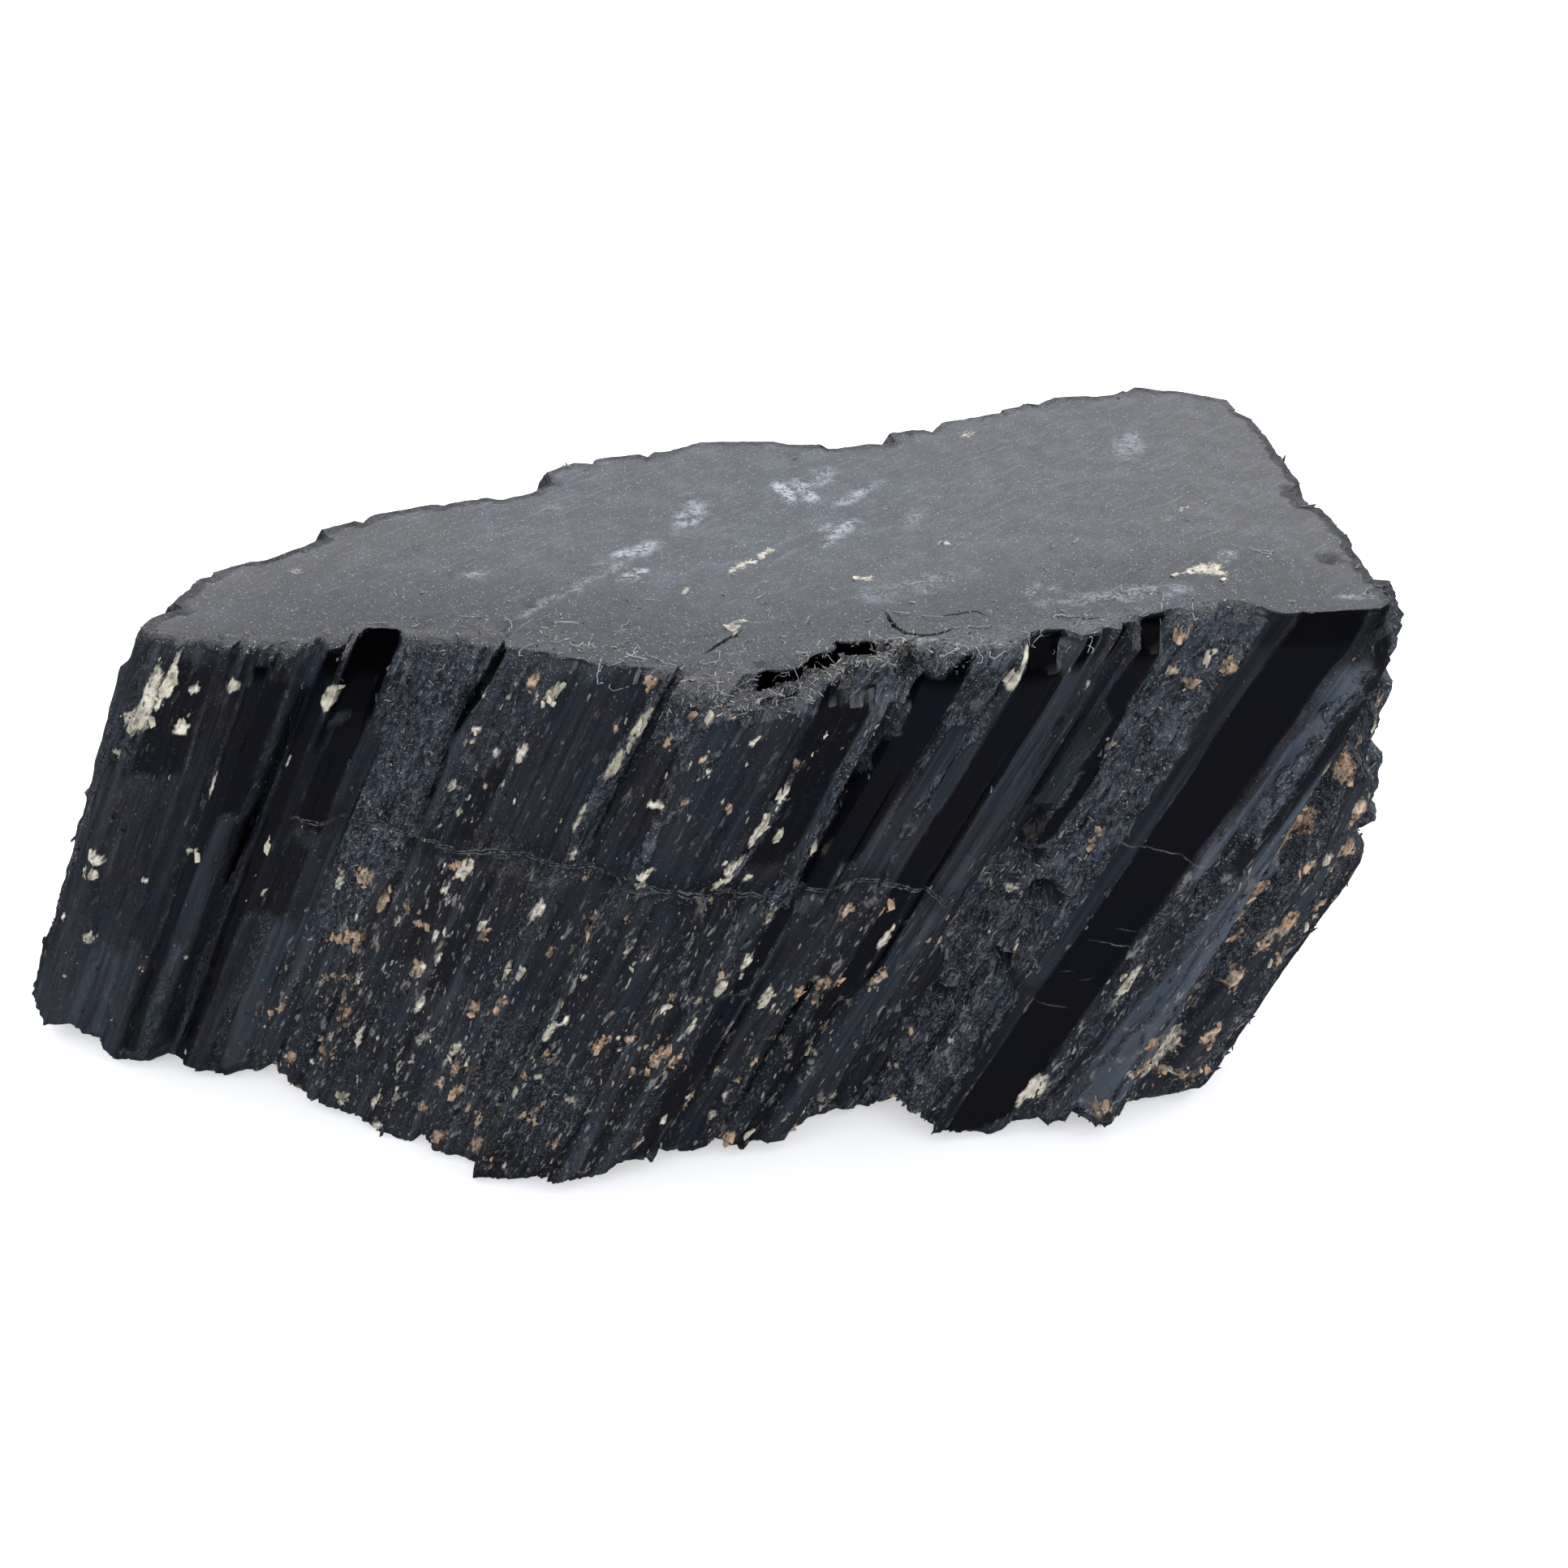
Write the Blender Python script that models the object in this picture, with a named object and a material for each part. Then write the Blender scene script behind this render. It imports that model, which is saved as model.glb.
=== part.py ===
"""Black tourmaline crystal: one chunk of parallel columns with a flat broken top.

Metres, +Z up. The origin is under the middle of the part's box, on the surface it
rests on. +X runs along the chunk, -Y is its best face. The columns lean: going
down they run towards -X.
"""

import math
import random

import bmesh
import bpy
import numpy as np
from mathutils import Matrix, Vector

MM = 0.001
NAME = "tourmaline_crystal"

# Driving dimensions
HEIGHT = 40.0 * MM
BOX_MIDDLE = (0.4 * MM, 0.9 * MM)
CORE_INSET = 0.75 * MM
MIN_CRYSTAL_DEPTH = 3.4 * MM
DEPTH_PER_FACE = 0.9
SHOULDER_SLOPE = 0.8
CUT_REACH = 160.0 * MM
TOP_MARGIN = 3.0 * MM
FOOT_MARGIN = 2.0 * MM
RANDOM_SEED = 11

# Growth lines of the chunk, in mm, going round it from its front left corner:
# where each starts on the top rim, where it bends over the broken right end, and
# where it meets the surface below. A straight line has no bend.
GROWTH_LINES = (
    ((-26.0, -17.0), None, (-47.0, 1.5)),
    ((-21.0, -17.5), None, (-41.0, -4.0)),
    ((-11.5, -17.5), None, (-30.0, -6.5)),
    ((-6.5, -18.0), None, (-24.5, -9.5)),
    ((3.5, -20.5), None, (-14.0, -14.5)),
    ((8.0, -22.5), None, (-9.0, -16.5)),
    ((12.5, -19.0), None, (-5.5, -17.5)),
    ((20.5, -17.5), None, (3.0, -14.0)),
    ((24.5, -16.5), None, (6.5, -14.5)),
    ((29.5, -14.5), None, (13.0, -10.5)),
    ((37.0, -13.0), None, (19.0, -12.0)),
    ((41.0, -12.5), None, (22.5, -12.5)),
    ((42.5, -13.0), (44.0, -12.5, 36.5), (26.0, -12.0)),
    ((43.0, -10.0), (45.2, -9.8, 22.0), (35.5, -9.5)),
    ((43.0, -4.0), (47.0, -4.0, 17.0), (39.4, -3.6)),
    ((42.0, 9.0), (46.5, 9.5, 21.0), (37.0, 11.0)),
    ((41.0, 19.0), (41.5, 19.5, 35.0), (23.0, 22.0)),
    ((38.0, 21.0), None, (19.0, 23.0)),
    ((33.0, 22.0), None, (14.0, 24.5)),
    ((27.5, 21.0), None, (9.0, 24.0)),
    ((22.5, 16.0), None, (4.0, 21.0)),
    ((12.0, 11.5), None, (-7.0, 19.0)),
    ((3.0, 11.0), None, (-16.0, 19.5)),
    ((-5.5, 7.5), None, (-25.5, 18.5)),
    ((-8.0, 3.5), None, (-28.5, 16.0)),
    ((-18.5, -2.0), None, (-39.5, 13.0)),
    ((-25.0, -9.5), None, (-46.5, 8.0)),
)

# Crystals of the face side, left to right: place along the wall at mid height,
# width of the outer face, how far it stands out of the wall (all mm), where it
# starts and ends as a share of the way down, number of sides, turn about its axis
# (degrees) and slope of its broken lower end. A start below zero runs off the top.
FRONT_CRYSTALS = (
    (1.9, 2.0, 0.0, -0.1, 0.98, 6, 0, 0.2),
    (4.4, 3.4, 0.25, -0.1, 0.99, 6, 4, 0.3),
    (7.0, 2.0, 0.0, -0.1, 0.95, 5, 8, 0.1),
    (9.2, 2.6, 0.6, -0.1, 1.0, 6, 6, 0.4),
    (12.5, 1.0, 0.1, -0.1, 0.94, 6, 0, 0.3),
    (14.7, 2.2, 0.6, 0.006, 0.98, 8, 0, 0.2),
    (18.2, 2.2, -0.35, -0.1, 0.92, 7, 10, 0.2),
    (20.6, 1.6, -0.45, -0.1, 0.96, 6, 15, 0.4),
    (24.2, 3.6, 0.1, -0.1, 0.36, 6, 0, 0.2),
    (24.6, 3.8, 0.0, 0.34, 0.99, 6, 0, 0.2),
    (29.2, 6.0, 0.45, -0.1, 0.345, 4, 3, -0.3),
    (34.2, 3.2, 0.2, -0.1, 0.345, 6, 0, -0.2),
    (38.6, 4.6, 0.3, -0.1, 0.36, 6, 4, -0.2),
    (42.6, 5.4, 0.7, 0.02, 0.385, 6, -2, 0.1),
    (28.6, 5.0, 0.1, 0.33, 0.99, 4, 4, 0.4),
    (33.2, 4.4, 0.2, 0.325, 1.0, 6, 0, 0.3),
    (38.0, 5.4, 0.35, 0.33, 1.0, 4, -2, 0.3),
    (42.6, 3.8, 0.2, 0.36, 0.97, 6, 6, 0.5),
    (46.0, 2.6, 0.3, 0.40, 0.98, 5, 0, 0.3),
    (48.2, 1.5, 0.2, -0.1, 0.45, 4, 6, 0.3),
    (50.4, 2.4, 0.35, -0.1, 0.42, 6, 0, 0.2),
    (50.0, 2.6, 0.1, 0.40, 0.99, 6, 8, 0.3),
    (53.3, 2.2, 0.75, 0.008, 0.62, 6, 0, 0.3),
    (53.0, 1.8, 0.1, 0.55, 0.97, 5, 10, 0.2),
    (55.6, 1.2, 0.35, -0.1, 0.97, 6, 0, 0.1),
    (57.4, 1.2, 0.15, -0.1, 0.90, 6, 20, 0.1),
    (58.8, 0.8, -0.1, -0.1, 0.80, 5, 0, 0.1),
    (60.8, 2.2, 0.6, 0.01, 0.30, 4, 5, 0.4),
    (62.2, 1.4, 0.2, 0.20, 0.40, 5, 0, 0.2),
    (63.6, 1.6, -0.5, -0.1, 0.95, 6, 0, 0.3),
    (60.6, 2.4, -0.35, 0.60, 0.97, 6, 12, 0.3),
    (69.3, 4.4, 0.9, -0.1, 0.985, 6, 0, 0.1),
    (72.4, 1.2, 0.9, -0.1, 0.90, 6, 10, 0.2),
    (74.2, 1.6, 0.35, 0.03, 0.96, 6, 0, 0.3),
)

# Right end, under the edge of its break: the same crystals seen from the end.
END_CRYSTALS = (
    (76.8, 2.6, 0.1, 0.06, 0.97, 6, 10, 0.3),
    (79.8, 2.0, 0.35, 0.30, 0.92, 5, 0, 0.4),
    (83.0, 3.2, 0.3, 0.46, 0.99, 6, 8, 0.2),
    (87.0, 2.6, 0.6, 0.55, 0.94, 4, 5, 0.3),
    (91.0, 3.6, 0.5, 0.56, 0.98, 6, 0, 0.3),
    (95.4, 2.6, 0.2, 0.53, 0.90, 5, 10, 0.4),
    (99.4, 3.6, 0.7, 0.50, 0.96, 6, 6, 0.2),
    (103.8, 2.8, 0.2, 0.42, 0.99, 7, 0, 0.3),
    (108.0, 3.2, 0.35, 0.28, 0.93, 6, 12, 0.3),
    (112.2, 2.8, 0.2, 0.12, 0.97, 5, 0, 0.2),
)

# The break over the right end cuts the columns off at uneven lengths: place along
# the wall at its start and end, share of the way down at its start and end,
# number of column ends, and their smallest and largest width in mm.
BROKEN_END = (81.0, 109.0, 0.03, 0.42, 38, 2.4, 4.4)
BROKEN_END_REACH = (-0.4 * MM, 0.6 * MM)
STUB_LENGTH = 6.0 * MM
LEAN = Vector((-0.42, 0.01, -0.91))

# Back and left sides, which the photograph hides: the same habit carried round.
BACK_CRYSTALS = (
    (116.0, 2.6, 0.2, -0.1, 0.98, 6, 0, 0.3),
    (119.6, 3.6, 0.55, -0.1, 0.95, 4, 6, 0.2),
    (123.6, 2.4, 0.0, -0.1, 0.90, 6, 10, 0.3),
    (127.0, 3.4, 0.45, 0.02, 0.99, 6, 0, 0.3),
    (130.8, 2.4, 0.1, -0.1, 0.97, 5, 10, 0.2),
    (134.6, 4.4, 0.7, -0.1, 0.52, 6, 5, 0.4),
    (135.4, 4.0, 0.15, 0.50, 0.98, 6, 8, 0.3),
    (139.6, 2.6, 0.15, -0.1, 0.96, 4, 0, 0.2),
    (143.2, 3.8, 0.55, 0.03, 0.99, 6, -6, 0.3),
    (147.4, 2.8, 0.0, -0.1, 0.70, 5, 0, 0.3),
    (147.6, 2.6, 0.2, 0.60, 0.97, 6, 8, 0.2),
    (151.6, 4.6, 0.8, -0.1, 0.97, 6, 4, 0.2),
    (156.2, 2.6, 0.1, -0.1, 0.93, 6, 12, 0.3),
    (159.8, 3.4, 0.4, -0.1, 0.60, 4, 6, 0.3),
    (160.2, 3.0, 0.0, 0.56, 0.99, 5, 0, 0.3),
    (163.6, 2.4, 0.2, -0.1, 0.96, 6, 0, 0.2),
    (167.2, 3.6, 0.6, 0.04, 0.98, 6, 0, 0.3),
    (171.2, 2.8, 0.0, -0.1, 0.90, 5, 8, 0.4),
    (175.0, 3.8, 0.45, -0.1, 0.99, 6, 5, 0.2),
    (179.0, 2.6, 0.1, -0.1, 0.95, 4, 0, 0.3),
    (182.6, 3.2, 0.5, 0.02, 0.70, 6, 8, 0.3),
    (182.8, 3.0, 0.1, 0.66, 0.98, 6, 0, 0.3),
    (186.2, 2.6, -0.1, -0.1, 0.97, 5, 10, 0.2),
    (189.6, 3.0, 0.0, -0.1, 0.99, 6, 0, 0.3),
    (193.0, 2.4, -0.6, -0.1, 0.93, 6, 6, 0.3),
)

# Rough stretches between the smooth crystals, where the columns are crushed to
# grains: place along the wall at their start and end, share of the way down at
# their start and end, number of lumps, and the lumps' largest size in mm.
CRUSHED_STRETCHES = (
    (16.6, 21.6, 0.05, 0.45, 9, 1.5),
    (17.0, 23.0, 0.50, 0.95, 10, 1.8),
    (45.6, 47.2, 0.08, 0.35, 4, 1.3),
    (61.8, 65.6, 0.10, 0.50, 10, 1.5),
    (58.6, 65.0, 0.50, 0.95, 14, 1.8),
    (75.0, 82.0, 0.20, 0.90, 12, 1.9),
    (127.0, 133.0, 0.10, 0.90, 6, 1.8),
    (154.0, 158.0, 0.10, 0.90, 6, 1.8),
)

# Pieces broken out of the crystal: place along the wall, share of the way down,
# length along the wall, height down it and depth into it (mm), turn (degrees).
CHIPS = (
    (39.6, 0.022, 6.6, 0.9, 2.8, -30.0),
    (46.2, 0.030, 2.6, 1.6, 1.6, 20.0),
    (22.0, 0.080, 0.6, 8.0, 2.4, 6.0),
    (11.4, 0.300, 0.8, 24.0, 2.0, 1.0),
    (46.6, 0.200, 1.2, 12.0, 1.8, 0.0),
    (28.2, 0.356, 8.4, 0.6, 1.3, -18.0),
    (35.8, 0.345, 7.6, 0.6, 1.3, -14.0),
    (42.6, 0.385, 5.8, 0.7, 1.4, -2.0),
    (62.6, 0.430, 2.2, 1.2, 1.8, 25.0),
    (64.6, 0.500, 2.6, 1.3, 1.8, -20.0),
    (62.0, 0.560, 2.4, 1.2, 1.8, -25.0),
    (65.0, 0.640, 2.2, 1.3, 1.8, 25.0),
    (63.0, 0.720, 2.8, 1.2, 1.9, -25.0),
    (5.0, 1.000, 4.0, 3.0, 2.6, 15.0),
    (19.0, 1.000, 3.6, 3.4, 2.8, -12.0),
    (31.5, 1.000, 3.0, 2.4, 2.6, 20.0),
    (46.8, 1.000, 5.0, 3.2, 3.0, -10.0),
    (64.3, 1.000, 3.4, 4.0, 3.2, 14.0),
    (76.0, 1.000, 3.6, 2.8, 2.8, 10.0),
    (94.0, 1.000, 6.0, 3.0, 3.2, 12.0),
    (126.0, 1.000, 5.0, 3.4, 3.0, -14.0),
    (135.0, 0.520, 6.0, 0.8, 1.6, 6.0),
    (148.0, 1.000, 5.0, 3.0, 2.8, 16.0),
    (169.0, 1.000, 4.6, 3.2, 3.0, -12.0),
    (187.0, 1.000, 4.0, 2.6, 2.8, 10.0),
)

# Dents in the flat top: middle (mm), size along and across, depth (mm).
TOP_DENTS = (
    ((40.6, -6.4), (2.0, 1.3), 0.7),
    ((42.0, 2.6), (3.4, 5.0), 0.8),
    ((-6.9, -17.4), (3.6, 1.6), 0.4),
    ((-26.0, -10.4), (3.4, 3.0), 0.6),
    ((30.8, 21.6), (5.0, 2.4), 0.7),
    ((14.6, 12.4), (5.0, 2.6), 0.6),
)

SCHORL_COLOUR = (0.013, 0.014, 0.017, 1.0)
SCHORL_ROUGHNESS = 0.32


def clear_scene():
    """Remove what the file opened with."""
    for thing in list(bpy.data.objects):
        bpy.data.objects.remove(thing, do_unlink=True)


def make_collection(name):
    collection = bpy.data.collections.new(name)
    bpy.context.scene.collection.children.link(collection)
    return collection


def growth_stations():
    """Each growth line as top, bend and foot points in metres, one row a line."""
    rows = []
    for top, bend, foot in GROWTH_LINES:
        upper = np.array((top[0], top[1], HEIGHT / MM))
        lower = np.array((foot[0], foot[1], 0.0))
        middle = (upper + lower) / 2 if bend is None else np.array(bend, dtype=float)
        rows.append((upper, middle, lower))
    return np.array(rows) * MM - np.array((BOX_MIDDLE[0], BOX_MIDDLE[1], 0.0))


STATIONS = growth_stations()


def wall_length():
    """Distance round the wall, measured half way between top and foot."""
    half_way = (STATIONS[:, 0, :2] + STATIONS[:, 2, :2]) / 2
    steps = np.linalg.norm(np.diff(half_way, axis=0, append=half_way[:1]), axis=1)
    return np.concatenate(((0.0,), np.cumsum(steps)))


ALONG = wall_length()


def on_wall(along, down):
    """Point of the wall, by the distance along it and the share of the way down."""
    around = along % ALONG[-1]
    closed = np.concatenate((STATIONS, STATIONS[:1]))
    point = [[np.interp(around, ALONG, closed[:, row, axis]) for axis in range(3)] for row in range(3)]
    upper, middle, lower = np.array(point)
    bend = (upper[2] - middle[2]) / (upper[2] - lower[2])
    if down < bend:
        return Vector(upper + (middle - upper) * down / bend)
    return Vector(middle + (lower - middle) * (down - bend) / (1.0 - bend))


def wall_axes(along, down):
    """Point, direction down the growth line, direction along and way out of the wall."""
    reach = 1.5 * MM
    point = on_wall(along, down)
    downward = (on_wall(along, 0.9) - on_wall(along, 0.55)).normalized()
    sideways = on_wall(along + reach, down) - on_wall(along - reach, down)
    outward = downward.cross(sideways).normalized()
    sideways = outward.cross(downward).normalized()
    return point, downward, sideways, outward


def link_mesh(bm, name, collection):
    """Turn a bmesh into an object of the collection."""
    if bm.calc_volume(signed=True) < 0.0:
        bmesh.ops.reverse_faces(bm, faces=bm.faces)
    mesh = bpy.data.meshes.new(name)
    bm.to_mesh(mesh)
    bm.free()
    thing = bpy.data.objects.new(name, mesh)
    collection.objects.link(thing)
    return thing


def make_core(collection):
    """The body of the chunk, inside its crystals: a loft from top to foot."""
    shares = (-TOP_MARGIN / HEIGHT, 0.25, 0.5, 0.75, 1.0 + FOOT_MARGIN / HEIGHT)
    bm = bmesh.new()
    rings = []
    for share in shares:
        ring = []
        for along in ALONG[:-1]:
            point, _, _, outward = wall_axes(along, min(max(share, 0.0), 1.0))
            edge = on_wall(along, 0.0) if share < 0.0 else on_wall(along, 1.0)
            if share < 0.0:
                point = edge + (edge - on_wall(along, 0.1)) * (-share / 0.1)
            elif share > 1.0:
                point = edge + (edge - on_wall(along, 0.9)) * ((share - 1.0) / 0.1)
            ring.append(bm.verts.new(point - outward * CORE_INSET))
        rings.append(ring)
    for upper, lower in zip(rings, rings[1:]):
        for i in range(len(upper)):
            j = (i + 1) % len(upper)
            bm.faces.new((upper[j], upper[i], lower[i]))
            bm.faces.new((upper[j], lower[i], lower[j]))
    for ring in (rings[0], rings[-1][::-1]):
        cap = bm.faces.new(ring)
        bmesh.ops.triangulate(bm, faces=[cap])
    return link_mesh(bm, NAME, collection)


def make_crystal(row, collection):
    """One prism of the bundle, sunk into the core along its growth line."""
    along, face, proud, start, end, sides, turn, slope = row
    top, downward, _, outward = wall_axes(along * MM, max(start, 0.0))
    foot = on_wall(along * MM, min(end, 1.0))
    if start < 0.0:
        top = top - downward * TOP_MARGIN
    half_angle = math.pi / sides
    radius = face * MM / 2 / math.sin(half_angle)
    reach = radius * math.cos(half_angle)
    depth = max(face * DEPTH_PER_FACE * MM, MIN_CRYSTAL_DEPTH)
    bm = bmesh.new()
    bmesh.ops.create_cone(
        bm,
        cap_ends=True,
        segments=sides,
        radius1=radius,
        radius2=radius,
        depth=(foot - top).length,
    )
    facing_out = Matrix.Rotation(half_angle + math.radians(turn), 3, "Z")
    bmesh.ops.rotate(bm, verts=bm.verts, matrix=facing_out)
    bmesh.ops.scale(bm, verts=bm.verts, vec=(1.0, depth / 2 / reach, 1.0))
    for vert in bm.verts:
        if vert.co.z > 0.0:
            vert.co.z += vert.co.y * slope
        elif start >= 0.0:
            vert.co.z += vert.co.y * SHOULDER_SLOPE
    axis = (foot - top).normalized()
    across = axis.cross(outward).normalized()
    facing = across.cross(axis).normalized()
    place = Matrix((-across, facing, axis)).transposed().to_4x4()
    place.translation = (top + foot) / 2 + facing * (proud * MM - depth / 2)
    bm.transform(place)
    return link_mesh(bm, "crystal", collection)


def make_lump(rng, stretch, collection):
    """One coarse grain of a crushed stretch, half sunk into the core."""
    first, last, high, low, _, largest = stretch
    along = rng.uniform(first, last) * MM
    down = rng.uniform(high, low)
    size = largest * rng.uniform(0.6, 1.0) * MM
    point, downward, sideways, outward = wall_axes(along, down)
    bm = bmesh.new()
    bmesh.ops.create_icosphere(bm, subdivisions=1, radius=0.5)
    for vert in bm.verts:
        vert.co *= rng.uniform(0.8, 1.2)
    bmesh.ops.rotate(bm, verts=bm.verts, matrix=Matrix.Rotation(rng.uniform(0.0, 3.0), 3, "Z"))
    bmesh.ops.scale(bm, verts=bm.verts, vec=(size, size * 1.2, size * 1.7))
    place = Matrix((sideways, outward, downward)).transposed().to_4x4()
    place.translation = point - outward * (CORE_INSET + 0.1 * size)
    bm.transform(place)
    return link_mesh(bm, "lump", collection)


def make_column_end(rng, collection):
    """One column cut off by the break over the right end."""
    first, last, high, low, _, thin, thick = BROKEN_END
    point = on_wall(rng.uniform(first, last) * MM, rng.uniform(high, low))
    radius = rng.uniform(thin, thick) / 2 * MM
    up = -LEAN.normalized()
    bm = bmesh.new()
    bmesh.ops.create_cone(
        bm,
        cap_ends=True,
        segments=rng.choice((5, 6)),
        radius1=radius,
        radius2=radius,
        depth=STUB_LENGTH,
    )
    slope = rng.uniform(-0.6, 0.2)
    for vert in bm.verts:
        if vert.co.z > 0.0:
            vert.co.z += vert.co.x * slope
    bmesh.ops.rotate(bm, verts=bm.verts, matrix=up.to_track_quat("Z", "X").to_matrix())
    tip = point + up * rng.uniform(*BROKEN_END_REACH)
    bmesh.ops.translate(bm, verts=bm.verts, vec=tip - up * (STUB_LENGTH / 2))
    return link_mesh(bm, "column_end", collection)


def make_chip(row, collection):
    """A wedge that breaks a piece out of the wall."""
    along, down, length, height, depth, turn = row
    point, downward, sideways, outward = wall_axes(along * MM, down)
    bm = bmesh.new()
    bmesh.ops.create_cone(bm, cap_ends=True, segments=5, radius1=0.35, radius2=0.75, depth=1.0)
    bmesh.ops.scale(bm, verts=bm.verts, vec=(length * MM, height * MM, depth * 2.0 * MM))
    bmesh.ops.rotate(bm, verts=bm.verts, matrix=Matrix.Rotation(math.radians(turn), 3, "Z"))
    place = Matrix((sideways, downward, outward)).transposed().to_4x4()
    place.translation = point
    bm.transform(place)
    return link_mesh(bm, "chip", collection)


def make_dent(rng, row, collection):
    """A shallow uneven dent in the flat top."""
    (x, y), (length, width), depth = row
    bm = bmesh.new()
    bmesh.ops.create_icosphere(bm, subdivisions=1, radius=0.5)
    for vert in bm.verts:
        vert.co *= rng.uniform(0.75, 1.2)
    bmesh.ops.scale(bm, verts=bm.verts, vec=(length * MM, width * MM, depth * 2.0 * MM))
    place = (x * MM - BOX_MIDDLE[0], y * MM - BOX_MIDDLE[1], HEIGHT)
    bmesh.ops.translate(bm, verts=bm.verts, vec=place)
    return link_mesh(bm, "dent", collection)


def make_box(name, low, high, collection):
    """A plain box between two corners."""
    bm = bmesh.new()
    bmesh.ops.create_cube(bm, size=1.0)
    size = Vector(high) - Vector(low)
    bmesh.ops.scale(bm, verts=bm.verts, vec=size)
    bmesh.ops.translate(bm, verts=bm.verts, vec=(Vector(low) + Vector(high)) / 2)
    return link_mesh(bm, name, collection)


def boolean(target, name, operation, collection):
    """Fuse or cut the target with every object of a collection."""
    step = target.modifiers.new(name, "BOOLEAN")
    step.operation = operation
    step.solver = "EXACT"
    step.operand_type = "COLLECTION"
    step.collection = collection
    return step


def shell_of(start):
    """Every vertex that edges join to this one."""
    found = {start}
    waiting = [start]
    while waiting:
        vert = waiting.pop()
        for edge in vert.link_edges:
            other = edge.other_vert(vert)
            if other not in found:
                found.add(other)
                waiting.append(other)
    return found


def keep_one_body(thing):
    """Apply the steps, then drop loose crumbs and bubbles, so that one body is left."""
    seen_by_view = thing.evaluated_get(bpy.context.evaluated_depsgraph_get())
    mesh = bpy.data.meshes.new_from_object(seen_by_view)
    thing.modifiers.clear()
    bm = bmesh.new()
    bm.from_mesh(mesh)
    left = set(bm.verts)
    shells = []
    while left:
        shell = shell_of(next(iter(left)))
        shells.append(shell)
        left -= shell
    shells.sort(key=len)
    for shell in shells[:-1]:
        bmesh.ops.delete(bm, geom=list(shell), context="VERTS")
    bmesh.ops.triangulate(bm, faces=bm.faces)
    bm.to_mesh(mesh)
    bm.free()
    thing.data = mesh


def hide_tools(collection):
    for thing in collection.objects:
        thing.hide_render = True
        thing.display_type = "WIRE"


def schorl_material():
    """Black tourmaline: near black with a glassy face."""
    material = bpy.data.materials.new("black_tourmaline")
    material.use_nodes = True
    shader = material.node_tree.nodes["Principled BSDF"]
    shader.inputs["Base Color"].default_value = SCHORL_COLOUR
    shader.inputs["Roughness"].default_value = SCHORL_ROUGHNESS
    shader.inputs["Metallic"].default_value = 0.0
    return material


def main():
    clear_scene()
    rng = random.Random(RANDOM_SEED)
    part = make_collection("tourmaline")
    crystals = make_collection("crystals_to_fuse")
    cutters = make_collection("cutters")

    body = make_core(part)
    body.data.materials.append(schorl_material())
    for row in FRONT_CRYSTALS + END_CRYSTALS + BACK_CRYSTALS:
        make_crystal(row, crystals)
    for stretch in CRUSHED_STRETCHES:
        for _ in range(stretch[4]):
            make_lump(rng, stretch, crystals)
    for _ in range(BROKEN_END[4]):
        make_column_end(rng, crystals)
    for row in CHIPS:
        make_chip(row, cutters)
    for row in TOP_DENTS:
        make_dent(rng, row, cutters)
    half = CUT_REACH / 2
    make_box("above_top", (-half, -half, HEIGHT), (half, half, HEIGHT + half), cutters)
    make_box("below_foot", (-half, -half, -half), (half, half, 0.0), cutters)
    boolean(body, "fuse_crystals", "UNION", crystals)
    boolean(body, "break_edges", "DIFFERENCE", cutters)
    keep_one_body(body)
    hide_tools(crystals)
    hide_tools(cutters)


main()
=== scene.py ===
# %% [markdown]
# # A chunk of black tourmaline
# Black tourmaline, which mineral books call schorl, grows as long columns with fine
# lines along them. This piece is a bundle of such columns, broken off flat at the
# top and roughly at the right end. Glassy black faces lie beside grey crushed bands,
# and rusty grains and pale feldspar sit in the cracks.
#
# The solid model gives the true size and every main column. The script lays a much
# finer surface over that solid, so nothing has to be fitted by eye.

# %% Load the solid model
import math

import bmesh
import bpy
import numpy as np
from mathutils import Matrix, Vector
from mathutils.bvhtree import BVHTree
from mathutils.geometry import delaunay_2d_cdt


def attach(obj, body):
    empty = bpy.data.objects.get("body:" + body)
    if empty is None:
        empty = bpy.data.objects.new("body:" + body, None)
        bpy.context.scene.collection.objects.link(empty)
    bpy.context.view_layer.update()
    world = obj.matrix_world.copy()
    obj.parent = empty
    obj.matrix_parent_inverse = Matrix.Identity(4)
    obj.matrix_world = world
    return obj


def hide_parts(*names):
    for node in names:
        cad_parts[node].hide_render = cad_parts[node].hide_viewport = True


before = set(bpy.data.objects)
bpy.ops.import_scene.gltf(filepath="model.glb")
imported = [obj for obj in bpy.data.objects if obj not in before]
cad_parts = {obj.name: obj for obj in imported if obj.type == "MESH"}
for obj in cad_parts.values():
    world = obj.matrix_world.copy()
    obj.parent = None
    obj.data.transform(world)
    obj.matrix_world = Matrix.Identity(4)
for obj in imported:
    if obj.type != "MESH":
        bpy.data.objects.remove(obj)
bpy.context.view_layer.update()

MM = 0.001
NODE = "tourmaline_crystal"
BODY = "root"

# %% [markdown]
# ## The camera
# The photographer stood close and looked down at about a third of a right angle.
# A short distance makes the near edge large, so the camera is placed first: every
# later choice is judged through it.

# %% Place the camera
IMAGE_SIDE = 1932
FOCAL_LENGTH_PX = 2200
SENSOR_MM = 36.0
CAMERA_PLACE = Vector((8.2, -102.9, 84.0)) * MM
CAMERA_DOWN = math.radians(32.0)

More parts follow.
